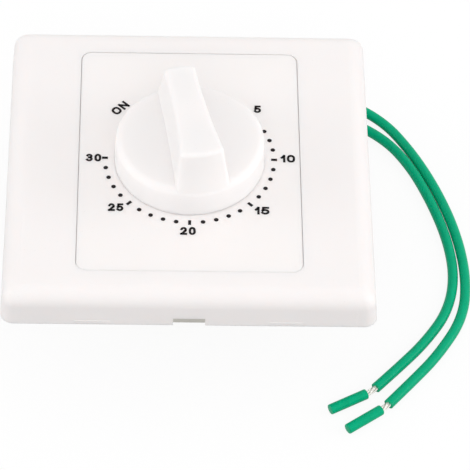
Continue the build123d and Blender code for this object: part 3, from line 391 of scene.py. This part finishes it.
# %% [markdown]
# ## The knob's foot
#
# The knob's solid stops half a millimetre above the panel, so that it is clear of it as it turns.
# The real knob almost touches, and the wider gap would show as a dark line round its foot. A copy
# has the lowest stretch of its skirt drawn down to a hair's width above the panel, evenly, so that
# nothing kinks, and is the same everywhere else.

# %% The knob with a closer foot
foot_gap = 0.12 * mm
foot_stretch = 2.0 * mm

places, triangles, normals = loose_triangles(nodes["knob"].data)
low_share = np.clip(1 - (places[:, 2] - knob_low_z) / foot_stretch, 0, 1)
places[:, 2] -= (knob_low_z - face_z - foot_gap) * low_share
knob_shape = (places, triangles, normals)
stand_in("knob_moulding", "knob", "knob", knob_white, knob_shape)

# %% [markdown]
# ## The case and the small mouldings
#
# The case never shows in use, so its mould was left as the spark cut it: a fine even grain with no
# gloss. The cam is natural plastic, pale and yellowish, and the contact block is brown pressed
# resin with pale filler in it. The grommet is soft black rubber. One recipe with other numbers
# serves all four, because they differ in colour and grain and not in kind.


# %% Case, cam, block and grommet
def sparked_plastic(name, colour, shade, roughness, grain, depth):
    """Matt moulded plastic: a fine grain in the bump, the same grain faintly in the colour."""
    finish = Finish(name, IOR=1.5)
    fine = finish.noise(grain, detail=4, roughness=0.65)
    clouds = finish.noise(9 * mm)
    finish.feed("Base Color", finish.blend(fine * 0.5 + clouds * 0.5, colour, shade))
    finish.feed("Roughness", finish.between(fine, roughness - 0.06, roughness + 0.06))
    finish.bump(fine, depth)
    return finish


case_white = sparked_plastic(
    "case_white",
    colour=(0.72, 0.7, 0.65),
    shade=(0.66, 0.64, 0.59),
    roughness=0.6,
    grain=0.35 * mm,
    depth=0.02 * mm,
)
cam_natural = sparked_plastic(
    "cam_natural",
    colour=(0.78, 0.75, 0.66),
    shade=(0.72, 0.69, 0.6),
    roughness=0.45,
    grain=0.5 * mm,
    depth=0.01 * mm,
)
block_brown = sparked_plastic(
    "block_brown",
    colour=(0.16, 0.065, 0.03),
    shade=(0.24, 0.12, 0.06),
    roughness=0.5,
    grain=0.4 * mm,
    depth=0.02 * mm,
)
grommet_black = sparked_plastic(
    "grommet_black",
    colour=(0.018, 0.018, 0.02),
    shade=(0.03, 0.03, 0.032),
    roughness=0.7,
    grain=0.3 * mm,
    depth=0.02 * mm,
)
dress(case_white, "timer_case")
dress(cam_natural, "switch_cam")
dress(block_brown, "insulator_block")
dress(grommet_black, "wire_grommet")

# %% [markdown]
# ## Metals
#
# Sheet pieces show the direction they were rolled in, so their noise is stretched along it. The
# coiled mainspring has no single such direction, so its marks run across the strip, and the contact
# points are pressed buttons with no direction at all. Turned pieces show rings, which follow the
# distance from their own axis. Brass darkens a little in the air. A steady grey metal would look
# like paint, because it is the fine marks that break up what a metal mirrors.

# %% Rolled sheet and turned bar
mark_depth = 0.004 * mm
# A wave pattern repeats 3.2 times in a unit of its scale, so these rings are 0.7 mm apart
ring_scale = 1 / (2.2 * mm)


def rolled_metal(name, colour, shade, roughness, direction=(0.06, 1, 1)):
    """Rolled strip: noise stretched along one direction drives the colour, the gloss and the bump."""
    finish = Finish(name, Metallic=1.0)
    grain = finish.noise(0.25 * mm, finish.place(stretch=direction), detail=4, roughness=0.7)
    clouds = finish.noise(6 * mm, detail=3)
    finish.feed("Base Color", finish.blend(clouds * 0.6 + grain * 0.4, colour, shade))
    finish.feed("Roughness", finish.between(grain, roughness - 0.08, roughness + 0.1))
    finish.bump(grain, mark_depth)
    return finish


def turned_metal(name, colour, shade, roughness, centre):
    """Turned bar: fine rings at even steps of the distance from its axis, and noise drawn out
    square to the axis for the tool's path along it."""
    finish = Finish(name, Metallic=1.0)
    rings = finish.node(
        "ShaderNodeTexWave",
        {"wave_type": "RINGS", "rings_direction": "Z"},
        {"Vector": finish.place(centre=centre), "Scale": ring_scale, "Distortion": 0.6, "Detail": 2.0},
        "Fac",
    )
    along = finish.noise(0.3 * mm, finish.place(stretch=(0.1, 0.1, 1)), detail=3)
    tool_marks = rings * 0.4 + along * 0.6
    finish.feed("Base Color", finish.blend(tool_marks, colour, shade))
    finish.feed("Roughness", finish.between(tool_marks, roughness - 0.08, roughness + 0.08))
    finish.bump(tool_marks, mark_depth)
    return finish


def middle(name):
    """Centre of a node's box, through which a turned piece's axis is taken to run."""
    low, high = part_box(name)
    return tuple((low + high) / 2)


# %% Plates, springs, blades and terminals
plate_zinc = rolled_metal("plate_zinc", (0.56, 0.56, 0.54), (0.47, 0.48, 0.48), 0.38)
spring_blue = rolled_metal("spring_blue", (0.16, 0.18, 0.23), (0.24, 0.22, 0.22), 0.3, (1, 1, 0.08))
blade_brass = rolled_metal("blade_brass", (0.72, 0.47, 0.24), (0.6, 0.36, 0.17), 0.32)
contact_silver = rolled_metal("contact_silver", (0.8, 0.79, 0.76), (0.7, 0.69, 0.66), 0.25, (1, 1, 1))
terminal_tin = rolled_metal("terminal_tin", (0.66, 0.65, 0.62), (0.55, 0.54, 0.52), 0.35)
dress(plate_zinc, "front_plate", "rear_plate")
dress(spring_blue, "mainspring", "clutch_washer", "knob_clip")
dress(blade_brass, "fixed_blade", "moving_blade")
dress(contact_silver, "fixed_point", "moving_point")
dress(terminal_tin, "crimp_terminals")

# %% Wheels, arbors and screws
for name in ("main_wheel", "second_wheel", "escape_wheel", "arbor_bush", "balance_lever"):
    wheel = turned_metal(name + "_brass", (0.74, 0.52, 0.22), (0.6, 0.4, 0.16), 0.34, middle(name))
    dress(wheel, name)
for name in ("main_arbor", "second_pinion", "escape_pinion", "balance_staff", "spring_post", "stop_pin"):
    arbor = turned_metal(name + "_steel", (0.52, 0.52, 0.52), (0.4, 0.4, 0.41), 0.28, middle(name))
    dress(arbor, name)
screw_zinc = turned_metal("screw_zinc", (0.6, 0.6, 0.56), (0.5, 0.5, 0.5), 0.35, (0, 0, 0))
dress(screw_zinc, "timer_screws", "case_screws", "block_screw", "pillars")

# %% [markdown]
# ## The leads
#
# Each lead is a fixed length of flexible wire that leaves the grommet, drops on to the table and
# curves round the plate. Straight runs joined by arcs would look like bent wire, so a NURBS spline
# with the route's points as its cage gives one even curve. The points are the ones that the solid
# tubes were bent round, ten of them moved by up to half a millimetre, so that the two leads run as
# close together beside the plate as the real ones.

# %% Routes of the leads
wire_diameter = 2.5 * mm
wire_radius = wire_diameter / 2
table = wire_radius / mm
grommet_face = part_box("wire_grommet")[1].y / mm

long_route = [
    (8.5, grommet_face, 5.6), (8.5, 31.5, 5.6), (12.2, 42.3, 2.3), (22.2, 50.8, table),
    (36.3, 53.0, table), (49.1, 45.1, table), (56.5, 33.5, table), (62.1, 20.6, table),
    (66.1, 6.7, table), (67.65, -7.2, table), (66.2, -19.6, table), (59.6, -31.1, table),
    (52.9, -39.3, table), (47.1, -46.0, table),
]
short_route = [
    (13.5, grommet_face, 5.6), (13.5, 30.4, 5.6), (17.2, 39.4, 2.3), (26.8, 45.6, table),
    (39.3, 45.2, table), (49.5, 38.4, table), (55.65, 29.3, table), (60.3, 17.5, table),
    (63.75, 4.8, table), (64.8, -7.3, table), (62.4, -18.2, table), (56.5, -27.5, table),
    (50.3, -34.7, table), (44.3, -41.2, table),
]
print("routes of", len(long_route), "and", len(short_route), "points")


# %% A round wire along a route
def lead_curve(name, route):
    """A round wire along a NURBS spline that has the route's points as its cage."""
    curve = bpy.data.curves.new(name, "CURVE")
    curve.dimensions = "3D"
    spline = curve.splines.new("NURBS")
    spline.points.add(len(route) - 1)
    for point, place in zip(spline.points, route):
        point.co = (*[x * mm for x in place], 1)
    spline.order_u = 3
    spline.use_endpoint_u = True
    spline.resolution_u = 12
    curve.bevel_depth = wire_radius
    curve.bevel_resolution = 8
    curve.use_fill_caps = True
    lead = bpy.data.objects.new(name, curve)
    bpy.context.scene.collection.objects.link(lead)
    return lead


def spline_points(lead):
    """Points along a lead's spline, read from the curve without its thickness."""
    bare = lead.copy()
    bare.data = lead.data.copy()
    bare.data.bevel_depth = 0
    mesh = bpy.data.meshes.new_from_object(bare)
    points = np.empty(3 * len(mesh.vertices))
    mesh.vertices.foreach_get("co", points)
    bpy.data.objects.remove(bare)
    bpy.data.meshes.remove(mesh)
    return points.reshape(-1, 3)


def spline_length(points):
    """The distances from each point to the next, added up."""
    return float(np.linalg.norm(np.diff(points, axis=0), axis=1).sum())


# %% [markdown]
# ## Surfaces from arrays
#
# The slugs, the strands and the print are grids of points: rows along the piece, columns round it.
# Joining neighbours gives faces, and one face at each end closes it. Ready-made cylinders would have
# to be turned and moved into place, and this way a piece is made where it lies.


# %% Grids to meshes
def grid_object(name, points):
    """A closed tube from an array of rings, shape (rings, sides, 3): each point is joined to the
    next on its ring and to the same point on the next ring, and the two end rings are filled."""
    rings, sides, _ = points.shape
    index = np.arange(rings * sides).reshape(rings, sides)
    here, there = index[:-1], index[1:]
    faces = np.stack([here, np.roll(here, -1, 1), np.roll(there, -1, 1), there], -1)
    ends = [index[0][::-1].tolist(), index[-1].tolist()]
    mesh = bpy.data.meshes.new(name)
    mesh.from_pydata(points.reshape(-1, 3).tolist(), [], faces.reshape(-1, 4).tolist() + ends)
    mesh.update()
    mesh.shade_smooth()
    piece = bpy.data.objects.new(name, mesh)
    bpy.context.scene.collection.objects.link(piece)
    return piece


def square_frame(directions):
    """Two unit directions square to each given one: a level one, and one that rises from it."""
    ahead = directions / np.linalg.norm(directions, axis=1, keepdims=True)
    side = np.cross(ahead, (0, 0, 1))
    side = side / np.linalg.norm(side, axis=1, keepdims=True)
    return side, np.cross(side, ahead)


def rings_along(centres, directions, radii, sides):
    """Circles square to their directions: centre + radius (cos a side + sin a rise)."""
    side, rise = square_frame(directions)
    angles = np.linspace(0, 2 * np.pi, sides, endpoint=False)
    ring = np.cos(angles)[:, None] * side[:, None] + np.sin(angles)[:, None] * rise[:, None]
    return centres[:, None] + radii[:, None, None] * ring


def join(name, pieces):
    """Joins meshes into the first, which takes the name."""
    with bpy.context.temp_override(active_object=pieces[0], selected_editable_objects=pieces):
        bpy.ops.object.join()
    pieces[0].name = name
    pieces[0].data.name = name
    print(name, "is made of", len(pieces), "closed shapes")
    return pieces[0]


# %% [markdown]
# ## Insulation and strands
#
# The insulation is green vinyl: a strong colour with a soft sheen, slightly paler in streaks where
# it was drawn through its die. A high gloss would mirror the white surroundings and grey the green,
# so the shine is kept low. The strands under it are tinned copper.

# %% Finishes of the leads
vinyl = Finish("wire_green", IOR=1.52, Specular_IOR_Level=0.08)
streaks = vinyl.noise(1.2 * mm, vinyl.place(stretch=(1, 0.25, 1)), detail=3)
vinyl.feed("Base Color", vinyl.blend(streaks, (0.0, 0.335, 0.162), (0.0, 0.45, 0.228)))
vinyl.feed("Roughness", vinyl.between(streaks, 0.2, 0.3))
vinyl.bump(vinyl.noise(0.5 * mm, detail=3), 0.01 * mm)

tinned = Finish("tinned_strand", Metallic=0.6)
tarnish = tinned.noise(0.6 * mm, detail=3)
tinned.feed("Base Color", tinned.blend(tarnish, (0.93, 0.91, 0.88), (0.84, 0.8, 0.75)))
tinned.feed("Roughness", tinned.between(tarnish, 0.3, 0.45))
tinned.bump(tarnish, 0.005 * mm)
dress(vinyl, "inner_leads")

# %% [markdown]
# ## The stripped ends
#
# At the end of each lead the insulation is cut through and its last piece is slid a little way off,
# so that the twisted strands show between. The piece, called a slug here, lies askew, because
# nothing but the strands holds it. A textured cylinder could stand for the strands, but so close up
# its outline would give it away, so each strand is a tube of its own.

# %% Sizes of the stripped ends
slug_length = 9.8 * mm
slug_sides = 40
rim_share = np.array([0, 0.002, 0.012, 0.03, 0.5, 0.97, 0.988, 0.998, 1])
rim_radius_share = np.array([0.9, 0.955, 0.985, 1, 1.004, 1, 0.985, 0.955, 0.9])

strand_count = 12
strand_radius = 0.16 * mm
strand_sides = 8
bundle_radius = 0.55 * mm
inner_strand_share = 0.45
twist_pitch = 9 * mm
hidden_end = 0.6 * mm
bundle_rings = 26
bundle_width = 2 * (bundle_radius + strand_radius)
print(strand_count, "strands in a bundle", round(bundle_width / mm, 2), "mm across")


# %% Slug and strands
def slug_rings(start, end):
    """A cut piece of insulation: rings at shares of the way from start to end, smaller at the rims
    and a little fuller in the middle."""
    centres = start + rim_share[:, None] * (end - start)
    directions = np.repeat((end - start)[None], len(rim_share), 0)
    return rings_along(centres, directions, wire_radius * rim_radius_share, slug_sides)


def strand_bundle(name, path):
    """Twisted strands: each stands off the path by path + offset (cos t side + sin t rise), where t
    grows by one turn in each pitch, and every third strand lies nearer the middle."""
    steps = np.diff(path, axis=0)
    travelled = np.concatenate([[0], np.cumsum(np.linalg.norm(steps, axis=1))])
    side, rise = square_frame(np.gradient(path, axis=0))
    radii = np.full(len(path), strand_radius)
    strands = []
    for strand in range(strand_count):
        turn = 2 * np.pi * strand / strand_count + 2 * np.pi * travelled / twist_pitch
        offset = (1 if strand % 3 else inner_strand_share) * bundle_radius
        centres = path + offset * (np.cos(turn)[:, None] * side + np.sin(turn)[:, None] * rise)
        rings = rings_along(centres, np.gradient(centres, axis=0), radii, strand_sides)
        strands.append(grid_object(name + "_" + str(strand), rings))
    return strands


def bent_path(start, corner, end):
    """A parabola from start to end that leaves and arrives along the lines to the corner."""
    share = np.linspace(0, 1, bundle_rings)[:, None]
    return (1 - share) ** 2 * start + 2 * share * (1 - share) * corner + share**2 * end


# %% The two leads
def lay_lead(name, route, slug_turn, bare_gap):
    """The slug lies a bare gap past the lead's end, turned about the gap's middle by slug_turn
    degrees."""
    lead = lead_curve(name + "_lead", route)
    lead.data.materials.append(vinyl.material)
    points = spline_points(lead)
    end = points[-1]
    along = end - points[-2]
    along = along / np.linalg.norm(along)
    turned = np.array(Matrix.Rotation(math.radians(slug_turn), 3, "Z") @ Vector(along))
    corner = end + along * bare_gap / 2
    slug_start = corner + turned * bare_gap / 2
    slug_end = slug_start + turned * slug_length

    slug = grid_object(name + "_slug_sleeve", slug_rings(slug_start, slug_end))
    slug.data.materials.append(vinyl.material)
    path = bent_path(end - along * hidden_end, corner, slug_start + turned * hidden_end)
    strands = join(name + "_bare_strands", strand_bundle(name + "_strand", path))
    strands.data.materials.append(tinned.material)

    for piece, node, slot in (
        (lead, name, "wire_insulation"),
        (slug, name + "_slug", "wire_insulation"),
        (strands, name + "_strands", "tinned_strands"),
    ):
        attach(piece, "housing")
        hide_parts(node)
    [x * mm for x in route[0]]
    print(name, "is", round(spline_length(points) / mm, 1), "mm long")


lay_lead("long_wire", long_route, slug_turn=-13.5, bare_gap=2.5 * mm)
lay_lead("short_wire", short_route, slug_turn=-18.5, bare_gap=3.0 * mm)

# %% [markdown]
# ## The dial print
#
# The marks are pad printed in black ink. They could be a picture on the panel, but ink has a little
# thickness, so each mark is a thin closed solid that starts just under the panel's face and stands
# a few hundredths of a millimetre proud of it.

# %% Ink
ink = Finish("dial_ink", IOR=1.45, Specular_IOR_Level=0.12)
coverage = ink.noise(0.25 * mm, detail=3)
ink.feed("Base Color", ink.blend(coverage, (0.012, 0.01, 0.011), (0.03, 0.026, 0.028)))
ink.feed("Roughness", ink.between(coverage, 0.5, 0.65))
ink.bump(coverage, 0.003 * mm)

ink_height = 0.03 * mm
ink_sink = 0.02 * mm
print("the ink's top is at", round((face_z + ink_height) / mm, 2), "mm")

# %% [markdown]
# ## Dots and bars
#
# A dot stands at each minute and a bar at every fifth, nine degrees apart, clockwise from OFF at
# twelve o'clock. Each is an outline raised from one level to another.

# %% Dots and bars
mark_radius = 19.85 * mm
dot_radius = 0.54 * mm
dot_sides = 28
bar_length = 1.4 * mm
bar_width = 0.7 * mm
minute_turn = math.radians(9)
last_minute = 30
minutes_per_bar = 5
square = np.array([(-1, -1), (1, -1), (1, 1), (-1, 1)])


def spin(outline, turn):
    """An outline turned about the origin: (x cos t - y sin t, x sin t + y cos t)."""
    cosine, sine = math.cos(turn), math.sin(turn)
    return outline @ np.array([[cosine, sine], [-sine, cosine]])


def on_dial(angle, radius):
    """The place at a distance from the dial's centre, at an angle anticlockwise of three o'clock."""
    return radius * math.cos(angle), radius * math.sin(angle)


def printed(outline, place, turn):
    """Two rings, at the bottom and the top of the ink, of an outline turned and put in its place."""
    flat = spin(outline, turn) + np.array(place)
    low = np.column_stack([flat, np.full(len(flat), face_z - ink_sink)])
    high = np.column_stack([flat, np.full(len(flat), face_z + ink_height)])
    return np.stack([low, high])


dot_angles = np.linspace(0, 2 * np.pi, dot_sides, endpoint=False)
dot_outline = dot_radius * np.stack([np.cos(dot_angles), np.sin(dot_angles)], -1)
bar_outline = square * (bar_length / 2, bar_width / 2)
dots = []
bars = []
for minute in range(1, last_minute + 1):
    angle = math.pi / 2 - minute * minute_turn
    place = on_dial(angle, mark_radius)
    if minute % minutes_per_bar:
        dots.append(grid_object("dot_" + str(minute), printed(dot_outline, place, 0)))
    else:
        bars.append(grid_object("bar_" + str(minute), printed(bar_outline, place, angle)))
marks = join("dial_marks", dots + bars)
marks.data.shade_flat()
marks.data.materials.append(ink.material)

# %% [markdown]
# ## Figures
#
# The figures are wide and heavy. A typeface stretched to their width would have thick upright
# strokes and thin level ones, so each figure is a few strokes of one width instead. A stroke is a
# middle line in a box one unit high and wide, which is scaled to the figure's size before it is
# thickened.

# %% Shapes of the figures
figure_height = 2.35 * mm
stroke_width = 0.56 * mm
figure_gap = 0.36 * mm
bow_points = 20
ring_points = 49
squareness = 0.8


def bow(centre, size, start, end):
    """Points along an ellipse in a unit box, from one angle to another, in degrees."""
    angles = np.radians(np.linspace(start, end, bow_points))
    return np.array(centre) + np.stack([np.cos(angles), np.sin(angles)], -1) * size


def squared_ring():
    """A closed ring that fills its unit box: an ellipse whose sine and cosine are raised to a power
    under one, which swells it towards the box's corners."""
    angles = np.radians(np.linspace(90, 450, ring_points))
    shape = np.stack([np.cos(angles), np.sin(angles)], -1)
    return 0.5 + 0.5 * np.sign(shape) * np.abs(shape) ** squareness


# Each figure is a share of a full width, and strokes whose middle lines fill a unit box
figures_by_name = {
    "0": (1.0, [squared_ring()]),
    "1": (0.4, [[(1, 0), (1, 1)], [(0.9, 0.96), (0, 0.66)]]),
    "2": (1.0, [
        bow((0.5, 0.72), (0.46, 0.28), 165, -38),
        [(0.86, 0.55), (0.1, 0.02)],
        [(0, 0), (1, 0)],
    ]),
    "3": (1.0, [
        bow((0.46, 0.76), (0.46, 0.24), 150, -90),
        bow((0.46, 0.27), (0.52, 0.27), 90, -150),
    ]),
    "5": (1.0, [
        [(0.16, 1), (0.94, 1)],
        [(0.16, 0.96), (0.08, 0.56)],
        bow((0.46, 0.31), (0.53, 0.31), 138, -152),
    ]),
    "O": (1.15, [squared_ring()]),
    "N": (1.0, [[(0, 0), (0, 1)], [(0.08, 0.9), (0.92, 0.1)], [(1, 0), (1, 1)]]),
    "F": (0.85, [[(0, 0), (0, 1)], [(0, 1), (1, 1)], [(0, 0.48), (0.85, 0.48)]]),
}
print("figures and letters:", " ".join(figures_by_name))


# %% Strokes and labels
def inked_stroke(name, line, place, turn):
    """A stroke of ink: its middle line pushed half a width to each side, from under the panel's
    face up to the ink's top, and half a width past each end."""
    ahead = np.gradient(line, axis=0)
    ahead = ahead / np.linalg.norm(ahead, axis=1, keepdims=True)
    past_end = np.zeros((len(line), 1))
    past_end[0] = -1
    past_end[-1] = 1
    line = line + past_end * ahead * stroke_width / 2
    side = np.stack([-ahead[:, 1], ahead[:, 0]], -1) * stroke_width / 2
    corners = np.stack([line + side, line - side, line - side, line + side], 1)
    flat = spin(corners, turn) + np.array(place)
    levels = face_z + np.array([-ink_sink, -ink_sink, ink_height, ink_height])
    upright = np.broadcast_to(levels[None, :, None], (len(line), 4, 1))
    return grid_object(name, np.concatenate([flat, upright], -1))


def printed_label(text, place, turn, width):
    """Figures side by side: each takes its share of the label's width and the whole height."""
    widths = np.array([figures_by_name[letter][0] for letter in text])
    room = width - figure_gap * (len(text) - 1) - stroke_width * len(text)
    unit = room / widths.sum()
    left = -width / 2 + stroke_width / 2
    strokes = []
    for letter, letter_width in zip(text, widths * unit):
        for line in figures_by_name[letter][1]:
            size = (letter_width, figure_height - stroke_width)
            middle_line = np.array(line) * size + (left, -size[1] / 2)
            name = "label_" + text + "_" + str(len(strokes))
            strokes.append(inked_stroke(name, middle_line, place, turn))
        left += letter_width + stroke_width + figure_gap
    return strokes


# %% [markdown]
# ## Labels round the dial
#
# The numbers stay upright wherever they stand, and the two words follow the ring. A label's middle
# is given by its angle from three o'clock and its distance from the centre.

# %% Labels in their places
# A 1 is narrower than the other figures, so a pair with it is a little narrower too
pair_width = 3.6 * mm
pair_with_one_width = 3.4 * mm
labels = []
for text, angle_degrees, radius, width in (
    ("5", 45, 22.9 * mm, 1.7 * mm),
    ("10", 1, 23.1 * mm, pair_with_one_width),
    ("15", -43.5, 23.15 * mm, pair_with_one_width),
    ("20", -91, 22.4 * mm, pair_width),
    ("25", -138, 23.0 * mm, pair_width),
    ("30", 180, 22.5 * mm, pair_width),
    ("ON", 135.9, 23.0 * mm, 4.5 * mm),
    ("OFF", 92, 22.0 * mm, 5.6 * mm),
):
    angle = math.radians(angle_degrees)
    turn = angle - math.pi / 2 if text.isalpha() else 0
    labels += printed_label(text, on_dial(angle, radius), turn, width)
figures = join("dial_figures", labels)
figures.data.shade_flat()
figures.data.materials.append(ink.material)
for piece in (marks, figures):
    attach(piece, "housing")

# %% [markdown]
# ## The floor
#
# A pale sheet lies under the switch. What is seen of it directly, or in a reflection, is plain
# white with a tenth of its real shading, so that the shadow stays. A white sheet lit to the same
# level would throw that light back at the object, so this one throws back less than it shows, and
# the plate's upright sides stay a little darker than its face.

# %% The floor
floor_half = 3.0
plain_white_share = 0.9
thrown_back = (0.4, 0.4, 0.4)
seen_white = (0.97, 0.97, 0.97)

sheet = bpy.data.meshes.new("floor")
sheet_corners = np.column_stack([floor_half * square, np.zeros(len(square))])
sheet.from_pydata(sheet_corners.tolist(), [], [(0, 1, 2, 3)])
floor = bpy.data.objects.new("floor", sheet)
bpy.context.scene.collection.objects.link(floor)

paper = Finish("floor_paper", Roughness=0.9)
paper_seen = paper.seen_directly()
paper.feed("Base Color", paper.blend(paper_seen, thrown_back, seen_white))
paper_glow = paper.node("ShaderNodeEmission", {}, {"Color": (1, 1, 1, 1), "Strength": 1.0})
paper_mix = paper.node(
    "ShaderNodeMixShader",
    {},
    {0: paper_seen * plain_white_share, 1: Signal(paper, paper.shader.outputs[0]), 2: paper_glow},
)
paper.tree.links.new(paper_mix.socket, paper.tree.nodes["Material Output"].inputs["Surface"])
floor.data.materials.append(paper.material)
print("floor", 2 * floor_half, "m wide")

# %% [markdown]
# ## The sky and the lamps
#
# The sky is an even white that lights everything alike, and it is plain white where it is seen.
# Six large soft lamps shape the object: the front ones light the sides that face the camera, and
# the low ones the knob's skirt and the leads. One small lamp would be simpler, but its shadows
# would have hard edges.


# %% The sky
class Sky(Finish):
    """The world around the switch, wired with the same method as a material."""

    def __init__(self, name):
        self.world = bpy.data.worlds.new(name)
        self.world.use_nodes = True
        self.tree = self.world.node_tree
        self.shader = self.tree.nodes["Background"]


sky_light = 0.78
sky = Sky("studio")
sky.shader.inputs["Color"].default_value = (1.0, 1.0, 1.0, 1)
sky.feed("Strength", sky.between(sky.seen_directly(), sky_light, 1.0))
bpy.context.scene.world = sky.world
print("the sky lights with", sky_light, "of what it shows")


# %% The lamps
def soft_lamp(name, place, width, power):
    """A square area lamp that faces the switch."""
    data = bpy.data.lights.new(name, "AREA")
    data.shape = "SQUARE"
    data.size = width
    data.energy = power
    lamp = bpy.data.objects.new(name, data)
    lamp.location = place
    lamp.rotation_mode = "QUATERNION"
    lamp.rotation_quaternion = (Vector(place) - Vector((0, 0, wall_z))).to_track_quat("Z", "Y")
    bpy.context.scene.collection.objects.link(lamp)
    print(name, "lamp:", power, "W")


# Each lamp's place and width in metres, and its power in watts
for name, place, width, power in (
    ("front", (0, -1.2, 0.8), 1.2, 4.1),
    ("front_right", (0.85, -0.85, 0.8), 1.2, 1.3),
    ("back_right", (0.8, 0.8, 0.9), 1.2, 0.9),
    ("left", (-1.1, 0.1, 0.9), 1.4, 1.1),
    ("low_left", (-1.2, 0, 0.38), 0.7, 3.2),
    ("low_right", (1.2, 0, 0.38), 0.7, 4.0),
):
    soft_lamp(name, place, width, power)
bpy.context.scene.view_settings.view_transform = "Standard"
